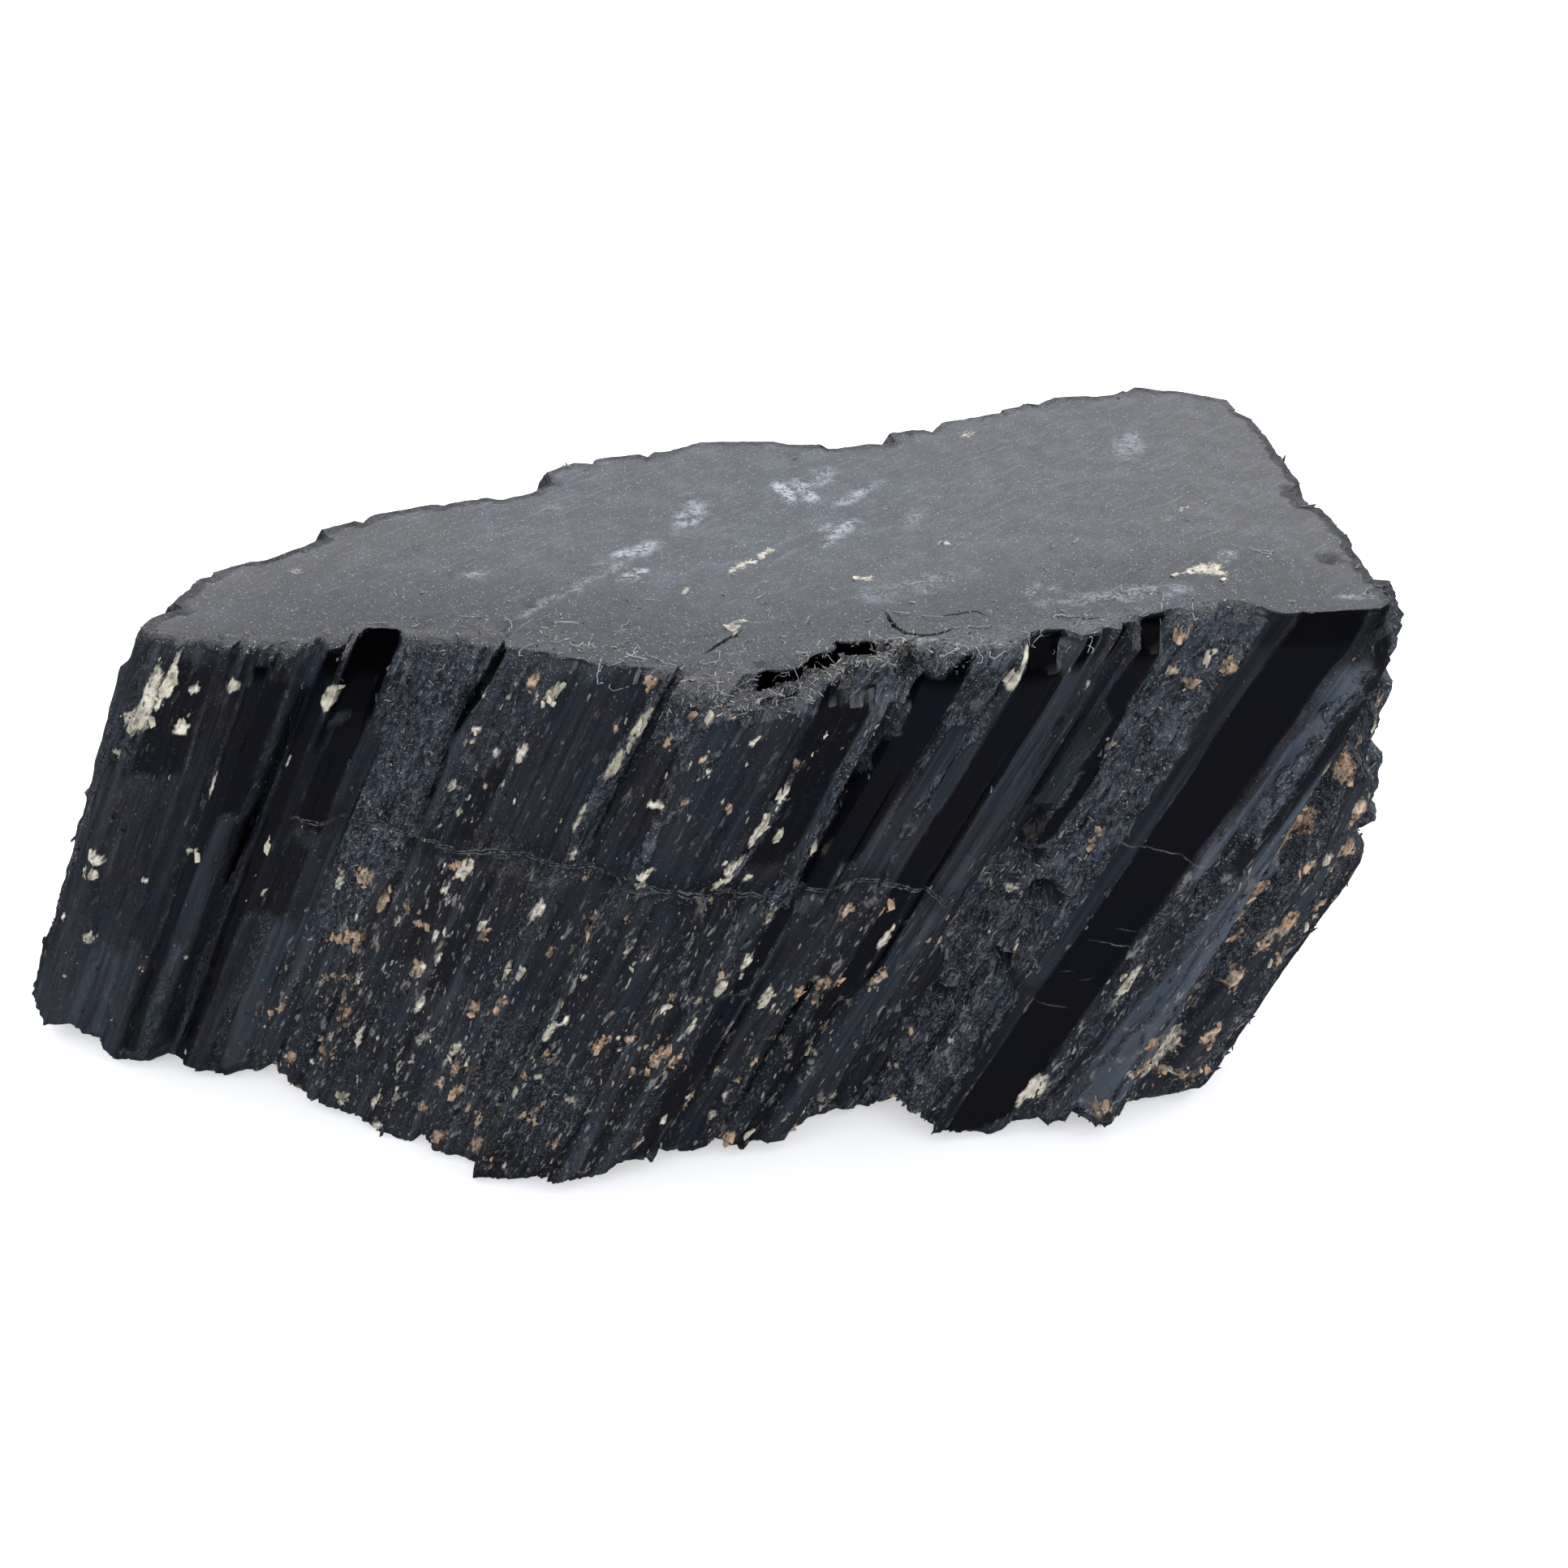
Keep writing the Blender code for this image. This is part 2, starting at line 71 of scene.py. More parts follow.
lens = bpy.data.cameras.new("camera")
lens.sensor_width = SENSOR_MM
lens.lens = SENSOR_MM * FOCAL_LENGTH_PX / IMAGE_SIDE
lens.clip_start = MM
camera = bpy.data.objects.new("camera", lens)
camera.location = CAMERA_PLACE
camera.rotation_euler = (math.pi / 2 - CAMERA_DOWN, 0.0, 0.0)
bpy.context.scene.collection.objects.link(camera)
bpy.context.scene.camera = camera
print("camera lens:", round(lens.lens, 1), "mm")

# %% [markdown]
# ## Growth lines
# Every column of the bundle leans the same way. A growth line says where one column
# would start on the top rim and where it would meet the table. Going round the chunk
# from line to line gives two coordinates that suit the crystal much better than x
# and y: the distance along the wall, and the share of the way down. All places below
# are given in them.

# %% Measure the wall
HEIGHT = 40.0
BOX_MIDDLE = np.array((0.4, 0.9))
NORMAL_REACHES = (1.2, 2.4)
GROWTH_LINES = (
    ((-26, -17), None, (-47, 1.5)), ((-21, -17.5), None, (-41, -4)), ((-11.5, -17.5), None,
    (-30, -6.5)), ((-6.5, -18), None, (-24.5, -9.5)), ((3.5, -20.5), None, (-14, -14.5)), ((8, -22.5), None,
    (-9, -16.5)), ((12.5, -19), None, (-5.5, -17.5)), ((20.5, -17.5), None, (3, -14)), ((24.5, -16.5), None,
    (6.5, -14.5)), ((29.5, -14.5), None, (13, -10.5)), ((37, -13), None, (19, -12)), ((41, -12.5), None,
    (22.5, -12.5)), ((42.5, -13), (44, -12.5, 36.5), (26, -12)), ((43, -10), (45.2, -9.8, 22),
    (35.5, -9.5)), ((43, -4), (47, -4, 17), (39.4, -3.6)), ((42, 9), (46.5, 9.5, 21), (37, 11)), ((41, 19),
    (41.5, 19.5, 35), (23, 22)), ((38, 21), None, (19, 23)), ((33, 22), None, (14, 24.5)), ((27.5, 21), None,
    (9, 24)), ((22.5, 16), None, (4, 21)), ((12, 11.5), None, (-7, 19)), ((3, 11), None,
    (-16, 19.5)), ((-5.5, 7.5), None, (-25.5, 18.5)), ((-8, 3.5), None, (-28.5, 16)), ((-18.5, -2), None,
    (-39.5, 13)), ((-25, -9.5), None, (-46.5, 8)),
)
rim_points = np.array([line[0] for line in GROWTH_LINES])
foot_points = np.array([line[2] for line in GROWTH_LINES])
half_way = (rim_points + foot_points) / 2
wall_steps = np.linalg.norm(np.diff(half_way, axis=0, append=half_way[:1]), axis=1)
ALONG = np.concatenate(((0.0,), np.cumsum(wall_steps)))
PERIMETER = ALONG[-1]
GROWTH_LENGTH = float(np.mean(np.hypot(np.linalg.norm(rim_points - foot_points, axis=1), HEIGHT)))


def lines_at(height):
    """Where the growth lines cross one level, closed by the first line."""
    places = []
    for top, bend, foot in GROWTH_LINES:
        stations = [(*foot, 0.0), (*top, HEIGHT)]
        if bend:
            stations.insert(1, bend)
        x, y, z = zip(*stations)
        places.append((np.interp(height, z, x), np.interp(height, z, y)))
    return np.array(places + places[:1]) - BOX_MIDDLE


def ring(height, around):
    """Points of the wall at one level, by their distance along it."""
    places = lines_at(height)
    turned = around % PERIMETER
    return np.stack([np.interp(turned, ALONG, places[:, axis]) for axis in (0, 1)], -1)


def ring_normals(height, around):
    """Level directions out of the wall, smoothed over the corners."""
    tangent = sum(ring(height, around + reach) - ring(height, around - reach) for reach in NORMAL_REACHES)
    normal = np.stack((tangent[:, 1], -tangent[:, 0]), -1)
    return normal / np.linalg.norm(normal, axis=1, keepdims=True)


print("way round:", round(PERIMETER, 1), "mm; length of a column:", round(GROWTH_LENGTH, 1), "mm")

# %% [markdown]
# ## Noise and shards
# Broken crystal has two kinds of unevenness. Grain is soft and random, and is made
# as smooth noise. Splinters are flat pieces with sharp steps between them, and are
# made as cells: each point of the wall belongs to the nearest of many scattered
# seeds, and each cell gets a height and a tilt of its own. Cells stretched along the
# growth lines look like splintered columns. The noise closes on itself going round,
# so no seam shows.

# %% Define the noise
ROWS_SPARE = 4
OCTAVES = 3
OCTAVE_FADE = 1.7
GRAIN_STRETCH = 1.3
GRAIN_LEVEL = 1.6
SHARD_ASPECT = 0.9
SHARD_TILT_DOWN = 0.8


def cells(around, run_down, width, length, margin):
    """Number of cells going round, place of each point in them, and its cell."""
    count = max(3, round(PERIMETER / width))
    x = (around % PERIMETER) / PERIMETER * count
    y = run_down / length + margin
    return count, x, y, np.floor(x).astype(int), np.floor(y).astype(int)


def noise(around, run_down, cell_along, cell_down, seed):
    """Smooth noise from -1 to 1 with cells of the given size in mm."""
    count, x, y, column, line = cells(around, run_down, cell_along, cell_down, 1.0)
    grid = np.random.default_rng(seed).uniform(-1.0, 1.0, (int(y.max()) + ROWS_SPARE, count))
    u = x - column
    v = y - line
    u = u * u * (3 - 2 * u)
    v = v * v * (3 - 2 * v)
    upper = grid[line, column % count] * (1 - u) + grid[line, (column + 1) % count] * u
    lower = grid[line + 1, column % count] * (1 - u) + grid[line + 1, (column + 1) % count] * u
    return upper * (1 - v) + lower * v


def grain(around, run_down, cell, seed):
    """Three sizes of noise on top of one another."""
    total = 0.0
    for octave in range(OCTAVES):
        size = (cell / 2**octave, cell * GRAIN_STRETCH / 2**octave)
        total = total + noise(around, run_down, *size, seed + octave) / OCTAVE_FADE**octave
    return total / GRAIN_LEVEL


def shards(around, run_down, width, length, seed):
    """Height of flat splinters, from about -1 to 1, with a step at every edge."""
    count, x, y, column, line = cells(around, run_down, width, length, 2.0)
    rng = np.random.default_rng(seed)
    seed_x, seed_y, lift, tilt_x, tilt_y = rng.random((5, int(y.max()) + ROWS_SPARE, count))
    nearest = np.full(x.shape, np.inf)
    height = np.zeros(x.shape)
    for step_y in (-1, 0, 1):
        for step_x in (-1, 0, 1):
            i = line + step_y
            j = (column + step_x) % count
            dx = x - (column + step_x + seed_x[i, j])
            dy = y - (i + seed_y[i, j])
            distance = np.maximum(np.abs(dx), np.abs(dy) * SHARD_ASPECT)
            own = 2 * lift[i, j] - 1 + (2 * tilt_x[i, j] - 1) * dx
            own += (2 * tilt_y[i, j] - 1) * dy * SHARD_TILT_DOWN
            closer = distance < nearest
            height = np.where(closer, own, height)
            nearest = np.minimum(nearest, distance)
    return height


def soft(value, width):
    """0 to 1 over a band of that width round zero."""
    x = np.clip(value / width + 0.5, 0.0, 1.0)
    return x * x * (3 - 2 * x)


print("noise cells of 3 mm round the wall:", round(PERIMETER / 3.0))

# %% [markdown]
# ## A net over the wall
# The surface is a net of columns and rows. Its columns follow the growth lines, so
# the straight edges of the crystals stay straight in it. They are closest on the
# face that shows most. The rows are level and closest at the rim, where the break
# is. Each knot is dropped onto the solid by a ray that comes in from outside.

# %% Drop the net onto the solid
# First and last place along the wall and distance of the columns between them (mm).
COLUMN_STEPS = (
    (0, 74, 0.16), (74, 82, 0.12), (82, 116, 0.27), (116, 190, 0.34), (190, PERIMETER, 0.2),
)
CLOSEST_COLUMNS = 0.1
RIM_ROWS = (0.0, 0.12, 0.26, 0.42, 0.60, 0.82, 1.08)
FIRST_WALL_ROW = 1.5
LAST_ROW_GAP = 0.25
ROW_STEP = 0.49
RAY_START = 6.0
HIDDEN_INSET = 0.75
EDGE_GAP = 0.02
# The solid is coarse under the sloping break at the right end, so the net is eased there.
BREAK_MIDDLE = 97.0
BREAK_FADE = 10.0
BREAK_EASING = 0.75
BREAK_PASSES = 6

columns = np.concatenate([np.arange(first, last, step) for first, last, step in COLUMN_STEPS])
if PERIMETER - columns[-1] < CLOSEST_COLUMNS:
    columns = columns[:-1]
depths = np.concatenate((RIM_ROWS, np.arange(FIRST_WALL_ROW, HEIGHT - LAST_ROW_GAP, ROW_STEP), (HEIGHT,)))

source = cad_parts[NODE].data
corners = np.empty(len(source.vertices) * 3, np.float32)
source.vertices.foreach_get("co", corners)
corners = corners.reshape(-1, 3).astype(float) / MM
triangles = [tuple(polygon.vertices) for polygon in source.polygons]
solid = BVHTree.FromPolygons([Vector(corner) for corner in corners], triangles)

base = np.empty((len(depths), len(columns), 3))
outward = np.zeros_like(base)
for row, depth in enumerate(depths):
    height = min(max(HEIGHT - depth, EDGE_GAP), HEIGHT - EDGE_GAP)
    level = ring(height, columns)
    normals = ring_normals(height, columns)
    for column, (place, normal) in enumerate(zip(level, normals)):
        direction = Vector((normal[0], normal[1], 0.0))
        start = Vector((place[0], place[1], height)) + direction * RAY_START
        found = solid.ray_cast(start, -direction, 3 * RAY_START)[0]
        inset = RAY_START - (found - start).length if found else -HIDDEN_INSET
        base[row, column, :2] = place + normal * inset
    base[row, :, 2] = HEIGHT - depth
    outward[row, :, :2] = normals
along, down = np.meshgrid(columns, depths)
worn = np.clip(2.0 - np.abs(along - BREAK_MIDDLE) / BREAK_FADE, 0.0, 1.0) * BREAK_EASING
for _ in range(BREAK_PASSES):
    eased = base.copy()
    above_and_below = base[:-2, 1:-1, :2] + base[2:, 1:-1, :2]
    eased[1:-1, 1:-1, :2] = (above_and_below + base[1:-1, :-2, :2] + base[1:-1, 2:, :2]) / 4
    base += (eased - base) * worn[..., None]
print("net:", base.shape[0], "rows by", base.shape[1], "columns")

# %% [markdown]
# ## Rows for the worn rim
# The top doesn't end in a knife edge. Between top and wall runs a crumbled ledge, wide
# where the columns were crushed and hardly there on the glassy ones. In the middle of
# the front a slab has come loose, and a dark gap yawns behind it. The upper rows of
# the net are slid along the growth lines to the levels that this profile needs, so the
# columns stay straight right up to the edge.

# %% Slide the rim rows
# Place along the wall, width and drop of the ledge and depth of the gap in it (mm).
RIM_LEDGE = (
    (0, 0.6, 1.4, 0), (2, 1, 0.9, 0), (7, 1.2, 0.7, 0), (13.2, 1.2, 0.6, 0), (13.9, 0.8, 0.4, 0),
    (14.3, 0.1, 0.1, 0), (15.5, 0.1, 0.1, 0), (15.9, 0.8, 0.4, 0), (16.6, 1.1, 0.6, 0), (22, 0.6, 0.5, 0),
    (26, 0.25, 0.3, 0), (30, 0.35, 0.5, 0), (33, 0.9, 0.7, 0), (35, 1.9, 0.9, 0), (36.2, 2.4, 1, 0),
    (37, 2.4, 1, 0.5), (38.6, 2.2, 1, 1.8), (40.2, 2, 0.9, 2.6), (41.8, 1.5, 0.8, 2.8), (43, 1.15, 0.8, 2.3),
    (44.2, 0.9, 0.8, 0.4), (44.8, 0.8, 0.9, 0), (50, 0.6, 1, 0), (51.9, 0.3, 0.6, 0), (52.5, 0.08, 0.1, 0),
    (54.3, 0.08, 0.1, 0), (55, 0.25, 0.4, 0), (59.5, 0.25, 0.4, 0), (60, 0.08, 0.1, 0), (61.4, 0.08, 0.1, 0),
    (62.2, 0.7, 0.8, 0), (65.6, 0.7, 0.7, 0), (66.6, 0.1, 0.1, 0), (71.8, 0.08, 0.1, 0), (72.8, 0.4, 0.5, 0),
    (76, 0.5, 0.7, 0), (84, 0.15, 0.3, 0), (110, 0.12, 0.3, 0), (189, 0.12, 0.3, 0), (192, 0.5, 0.9, 0),
    (PERIMETER, 0.6, 1.4, 0),
)
# For each row of the ledge where it gapes: share of its width, of its drop and of the
# gap's depth. Elsewhere it is rounded off.
LEDGE_ROWS = (
    (0, 0, 0), (0.02, 0.02, 0.05), (0.08, 0.08, 1), (0.34, 0.25, 0.6), (0.5, 0.4, 0), (0.78, 0.65, 0),
    (1, 1, 0),
)
LEAST_DROP = 0.9
LEAST_GAP = 0.05
EDGE_ROUNDING = 1.5
# Strength of the wear along the rim, size of its cells (mm) and seed.
RIM_WEAR = ((0.28, 1.8, 13), (0.03, 0.7, 17))
GAP_CALM_FROM = 0.2
GAP_CALM = 0.6
places, *ledge_columns = zip(*RIM_LEDGE)
ledge_width, ledge_drop, gap_depth = (np.interp(columns, places, values) for values in ledge_columns)
uneven_rim = sum(depth * noise(columns, columns * 0, cell, 1.0, seed) for depth, cell, seed in RIM_WEAR)
worn_edge = 1 + uneven_rim * (1 - GAP_CALM * (gap_depth > GAP_CALM_FROM))
straight = base.copy()
for row, (_, drop_share, _) in enumerate(LEDGE_ROWS):
    even_share = row / (len(LEDGE_ROWS) - 1)
    rounded_share = np.where(gap_depth > LEAST_GAP, even_share, even_share**EDGE_ROUNDING)
    drop_share = np.where(gap_depth > LEAST_GAP, drop_share, rounded_share)
    drop = np.maximum(ledge_drop * worn_edge * drop_share, LEAST_DROP * rounded_share)
    for axis in range(3):
        lines = straight[..., axis].T
        base[row, :, axis] = [np.interp(level, depths, line) for level, line in zip(drop, lines)]
    down[row] = drop
share = down / HEIGHT
run = share * GROWTH_LENGTH


def apart(place):
    """Signed distance along the wall from a place, the short way round."""
    return (along - place + PERIMETER / 2) % PERIMETER - PERIMETER / 2


def near(place, reach, fade):
    """1 within that many mm of a place along the wall, fading out over its edge."""
    return soft(reach - np.abs(apart(place)), fade)


def layers(*rows):
    """Patterns on top of one another: pattern, height, cell along and down the wall (mm) and seed of each."""
    return sum(height * pattern(along, run, *cell) for pattern, height, *cell in rows)


side_wobble = layers((noise, 0.22, 2.5, 7.0, 101), (noise, 0.10, 0.8, 2.0, 102))
end_wobble = layers((noise, 0.9, 1.2, 3.0, 103))
print("edges of faces wander by up to", round(float(np.abs(side_wobble).max()), 2), "mm")

# %% [markdown]
# ## Glassy faces and crushed bands
# A column that broke away cleanly leaves a glassy face with fine lines. Where the
# rock was sheared, the columns are crushed to a grey meal. Each row of the tables
# below is one such face or band, read off the specimen from left to right, and the
# back carries on in the same habit. The two masks steer relief, colour and gloss.

# %% Mark the faces and the bands
# Place along the wall and width (mm), start and end as shares of the way down, gloss, and tone: dust together
# with a painted sheen.
GLASSY_FACES = [
    (1.7, 2.6, 0.26, 1, 0.35, 0.5), (4.4, 3.2, 0.03, 0.27, 0.5, 0.16), (4.8, 3, 0.28, 0.68, 0.5, 0.42),
    (4.9, 3.2, 0.71, 1, 0.4, 0.58), (7.1, 1.5, 0.1, 0.66, 0.6, 0.32), (7.4, 1.6, 0.69, 1, 0.5, 0.55),
    (8.8, 1.1, 0.03, 0.95, 0.7, 0.16), (10, 1.3, 0.05, 0.33, 0.75, 0.06), (9.8, 1, 0.35, 0.66, 0.75, 0.5),
    (10.8, 0.9, 0.36, 0.95, 0.6, 0.32), (12.6, 1.2, 0.02, 0.98, 0.7, 0.04),
    (13.6, 0.8, 0.14, 0.55, 0.7, 0.22), (13.8, 1, 0.57, 0.98, 0.5, 0.4), (14.9, 2.7, 0, 0.14, 0.9, 0),
    (15.1, 1.9, 0.13, 0.36, 0.8, 0.03), (15, 1.7, 0.37, 0.56, 0.6, 0.2), (15.9, 1.4, 0.58, 0.97, 0.5, 0.62),
    (16.8, 1.1, 0.17, 0.56, 0.6, 0.45), (24.9, 1.6, 0.2, 0.34, 0.5, 0.26), (24.4, 1.7, 0.4, 0.6, 0.5, 0.32),
    (28.9, 5.2, 0.03, 0.335, 0.5, 0.4), (27.4, 1.5, 0.37, 0.66, 0.5, 0.3),
    (29.3, 1.6, 0.37, 0.6, 0.45, 0.36), (34.2, 2.9, 0.1, 0.33, 0.5, 0.36), (33.5, 2.8, 0.36, 0.64, 0.5, 0.4),
    (38.4, 4.4, 0.06, 0.345, 0.5, 0.42), (38.1, 4, 0.38, 0.7, 0.5, 0.4), (43, 3.7, 0.055, 0.33, 0.65, 0.05),
    (46.5, 1.2, 0.43, 0.6, 0.75, 0.05), (46.4, 1.6, 0.6, 0.95, 0.7, 0.18),
    (47.7, 1.6, 0.03, 0.42, 0.8, 0.05), (48.9, 1, 0.02, 0.36, 0.9, 0.06), (48.9, 1.7, 0.43, 0.97, 0.6, 0.4),
    (51.3, 2.1, 0.14, 0.41, 0.7, 0.52), (53.4, 1.9, 0.004, 0.41, 1, 0.03),
    (53.3, 1.6, 0.42, 0.62, 0.8, 0.08), (53.6, 1.5, 0.62, 0.97, 0.6, 0.12),
    (54.8, 0.9, 0.04, 0.6, 0.8, 0.05), (55.8, 1, 0, 0.97, 0.7, 0.48), (56.9, 1.1, 0, 0.9, 0.6, 0.6),
    (58.3, 1, 0, 0.8, 0.7, 0.48), (59.4, 0.8, 0.05, 0.95, 0.6, 0.42), (60.8, 1.7, 0.004, 0.15, 1, 0.06),
    (60.5, 1.4, 0.18, 0.42, 0.5, 0.42), (62, 1.3, 0.13, 0.25, 1, 0.02), (62.4, 1, 0.25, 0.39, 1, 0.02),
    (60.3, 2, 0.62, 0.95, 0.6, 0.36), (67, 1.4, 0, 0.66, 0.75, 0.4), (67, 1.4, 0.66, 0.97, 0.7, 0.28),
    (69.8, 3.9, 0, 0.985, 1, 0.01), (72.3, 0.6, 0.09, 0.46, 0.3, 0.9), (72.9, 1, 0.46, 0.92, 0.4, 0.44),
    (73.3, 1, 0, 0.45, 0.5, 0.22), (74, 0.5, 0.1, 0.95, 0.3, 0.8), (74.8, 0.7, 0.12, 0.92, 0.4, 1),
    (75.7, 0.6, 0.15, 0.92, 0.4, 0.94), (78.2, 1.4, 0.3, 0.97, 0.45, 0.5), (91, 2, 0.06, 0.93, 0.3, 0.45),
    (99.4, 2.6, 0.3, 0.96, 0.3, 0.5), (108, 2.2, 0.04, 0.8, 0.3, 0.4),
]
# The back: place of each crystal and the width of its face.
BACK_FACES = (
    (116, 2.2), (119.6, 3.2), (123.6, 1.8), (127, 2.8), (134.8, 4), (139.6, 2), (143.2, 3.4), (147.5, 2.2),
    (151.6, 4.2), (156.2, 2), (160, 3), (163.6, 1.9), (167.2, 3.2), (171.2, 2.2), (175, 3.4), (179, 2.1),
    (182.7, 2.9), (189.6, 2.4),
)
# First and last place (mm), first and last share of the way down, strength.
CRUSHED_BANDS = (
    (0, 3, 0.02, 0.26, 0.5), (16.4, 22, 0, 0.46, 0.72), (17.4, 20.6, 0.4, 0.62, 0.6),
    (22.3, 26.2, 0, 0.34, 0.45), (31.6, 36.2, 0, 0.34, 0.55), (45.4, 46.9, 0.03, 0.41, 1),
    (34, 52, -0.02, 0.065, 0.95), (49.3, 52, 0.02, 0.2, 0.6), (53.5, 66, -0.02, 0.015, 0.9),
    (61.6, 66.2, 0, 0.46, 0.95), (59, 66.2, 0.42, 1, 0.7), (72, 76.5, 0.02, 0.97, 0.6),
    (74.4, 75.4, 0.05, 0.95, 0.7), (76, 80.5, 0, 1, 0.7), (80, 116, 0, 0.46, 0.85), (20, 45, 0.72, 1, 0.3),
    (127, 133, 0.1, 0.9, 0.8), (154, 158, 0.1, 0.9, 0.8), (184, 188, 0, 0.6, 0.6),
)
GLASSY_FACES += [(place, width, 0.05, 0.96, 0.6, 0.1 + 0.4 * (place % 1)) for place, width in BACK_FACES]
END_SLANT = 0.5
RIM_SHARE = 0.01
USUAL_DUST_AND_SHEEN = 0.44
USUAL_CRUSHING = 0.30
# Of a face and of a band: how far its sides wander, and how softly they and the ends fade (mm).
FACE_WANDER, BAND_WANDER = 0.6, 3.0
FACE_FADES, BAND_FADES = (0.3, 0.5), (0.8, 1.0)
GLASS_KEEPS_OUT = 0.93
HALF = 0.5


def strip(place, width, start, end, wander, upper_wear, lower_wear, side_fade, end_fade):
    """1 inside a strip that runs down the wall, fading out over its worn edges."""
    across = soft(width / 2 - np.abs(apart(place) + wander * side_wobble), side_fade)
    upper = soft((share - start) * GROWTH_LENGTH + upper_wear, end_fade)
    return across * (upper * soft((end - share) * GROWTH_LENGTH + lower_wear, end_fade))


glassy = np.zeros_like(along)
gloss = np.zeros_like(along)
dust_and_sheen = USUAL_DUST_AND_SHEEN + layers((shards, 0.13, 1.4, 26.0, 9), (noise, 0.12, 2.0, 7.0, 202))
# Painted sheen: each face's tone, from black to slate grey, stands partly for dust and partly for the sky
# that the face reflects.
for index, (place, width, start, end, shine, dirt_and_sheen) in enumerate(GLASSY_FACES):
    broken_end = end_wobble + END_SLANT * (-1) ** index * np.clip(apart(place), -width, width)
    upper_end = broken_end * (start > RIM_SHARE)
    face = strip(place, width, start, end, FACE_WANDER, upper_end, broken_end, *FACE_FADES)
    glassy = np.maximum(glassy, face)
    gloss = np.maximum(gloss, face * shine)
    dust_and_sheen += (dirt_and_sheen - dust_and_sheen) * face
crushed = USUAL_CRUSHING + layers((noise, 0.25, 3.0, 12.0, 201))
for first, last, high, low, strength in CRUSHED_BANDS:
    middle = (first + last) / 2
    band = strip(middle, last - first, high, low, BAND_WANDER, end_wobble, end_wobble, *BAND_FADES)
    crushed = np.maximum(crushed, band * strength)
crushed = np.clip(crushed, 0.0, 1.0) * (1 - GLASS_KEEPS_OUT * glassy)
print("glassy share:", round(float(glassy.mean()), 2))
print("crushed share:", round(float((crushed > HALF).mean()), 2))

# %% [markdown]
# ## Cracks and veins
# A fracture runs right across the columns about a third of the way down, and short
# ones cross the big glassy face. A crack is a groove along a line of points. A vein
# is the same line filled with crushed crystal instead.

# %% Mark cracks and veins
# Width and depth (mm), then points as place along the wall and share of the way down.
CRACKS = (
    (0.16, 0.55, ((22.1, -0.01), (22.2, 0.085), (21.5, 0.175), (21.9, 0.24), (21.7, 0.29))),
    (0.45, 0.55, ((11.9, 0.045), (11.5, 0.26), (11.6, 0.52), (12.3, 0.9))), (0.35, 0.35, ((8.1, 0.05),
    (8.2, 0.5), (8.4, 0.95))), (0.3, 0.3, ((14.3, 0.15), (14.2, 0.5), (14.6, 0.95))),
    (0.3, 0.3, ((3.2, 0.28), (3.3, 0.9))), (0.18, 0.3, ((66.2, 0), (66.1, 0.3), (66.3, 0.62))),
    (0.14, 0.2, ((27, 0.19), (29.5, 0.16), (31, 0.13))), (0.16, 0.35, ((38.2, 0.31), (39.3, 0.275),
    (39.6, 0.24))), (0.2, 0.3, ((54, 0.45), (56.4, 0.43), (57.6, 0.46))), (0.42, 0.6, ((62.3, 0.44),
    (63, 0.436), (64, 0.452))), (0.48, 0.75, ((61.9, 0.508), (63.6, 0.535), (65.1, 0.548))),
    (0.42, 0.9, ((65.6, 0.54), (65.2, 0.588), (65.1, 0.64))), (0.3, 0.4, ((63.4, 0.42), (64.8, 0.436))),
    (0.36, 0.55, ((61.5, 0.704), (63.4, 0.735), (64.8, 0.752), (66, 0.77))), (0.36, 0.45, ((61.1, 0.768),
    (62.8, 0.8), (64.6, 0.832))), (0.32, 0.4, ((62.8, 0.676), (65.2, 0.712))), (0.16, 0.3, ((59.8, 0.72),
    (60.3, 0.58))),
)
# The main fracture across the columns, in stretches of points on the wall.
FRACTURE_STRETCHES = (
    ((14, 0.325), (17.5, 0.34), (21.4, 0.353), (24.8, 0.365), (28.8, 0.35), (31.7, 0.34), (36.5, 0.345),
    (41.2, 0.372), (44.6, 0.4), (47.7, 0.408), (52.1, 0.405), (54.5, 0.43), (57.4, 0.475)), ((132, 0.5),
    (138, 0.53), (143, 0.52), (151, 0.55)), ((164, 0.33), (171, 0.36), (177, 0.34), (184, 0.38), (192, 0.36)),
)
FRACTURE_DEPTH = 0.10
FRACTURE_HALF_WIDTH = 0.3
FRACTURE_WANDER, HAIRLINE_WANDER = 0.5, 0.1
VEIN_FADE = 0.35
VEIN_CRUSHING = 0.95
VEIN_DULLING = 0.9
# Hairlines on the big glassy face, from the top down.
HAIRLINES = (
    ((65.8, 0.375), (67.2, 0.388), (69.6, 0.4), (72.1, 0.428), (73.4, 0.43)), ((69.9, 0.548),
    (71.9, 0.556)), ((68.5, 0.567), (70.2, 0.577), (72, 0.588)), ((68.1, 0.627),
    (69.3, 0.633)), ((69.8, 0.652), (71, 0.65)), ((67.8, 0.686), (69, 0.7), (70.6, 0.71)),
)
VEINS = (
    (0.6, ((32.6, 0), (32, 0.08), (31.6, 0.16), (31.4, 0.25), (31.9, 0.335))), (0.4, ((37.2, 0.08),
    (36.9, 0.14), (36.2, 0.22), (36.6, 0.33))), (0.5, ((41.8, 0.18), (42, 0.285), (41.1, 0.37))),
    (1, ((46, 0.04), (46.9, 0.1), (47, 0.155), (46.3, 0.235), (46.2, 0.305), (46.6, 0.367), (45.3, 0.4))),
    (0.4, ((36, 0.35), (41.2, 0.378), (44.6, 0.408), (46.5, 0.43))), (0.5, ((52, 0), (51.9, 0.12),
    (51.4, 0.3), (52, 0.42))), (0.6, ((66.3, 0.02), (66.2, 0.45), (66.6, 0.98))), (0.7, ((72.9, 0.1),
    (72.8, 0.5), (72.6, 0.95))), (0.5, ((35, 0.37), (35.3, 0.5), (35.6, 0.64))), (0.5, ((40.9, 0.4),
    (41.6, 0.52), (43.5, 0.6), (47, 0.6))),
)


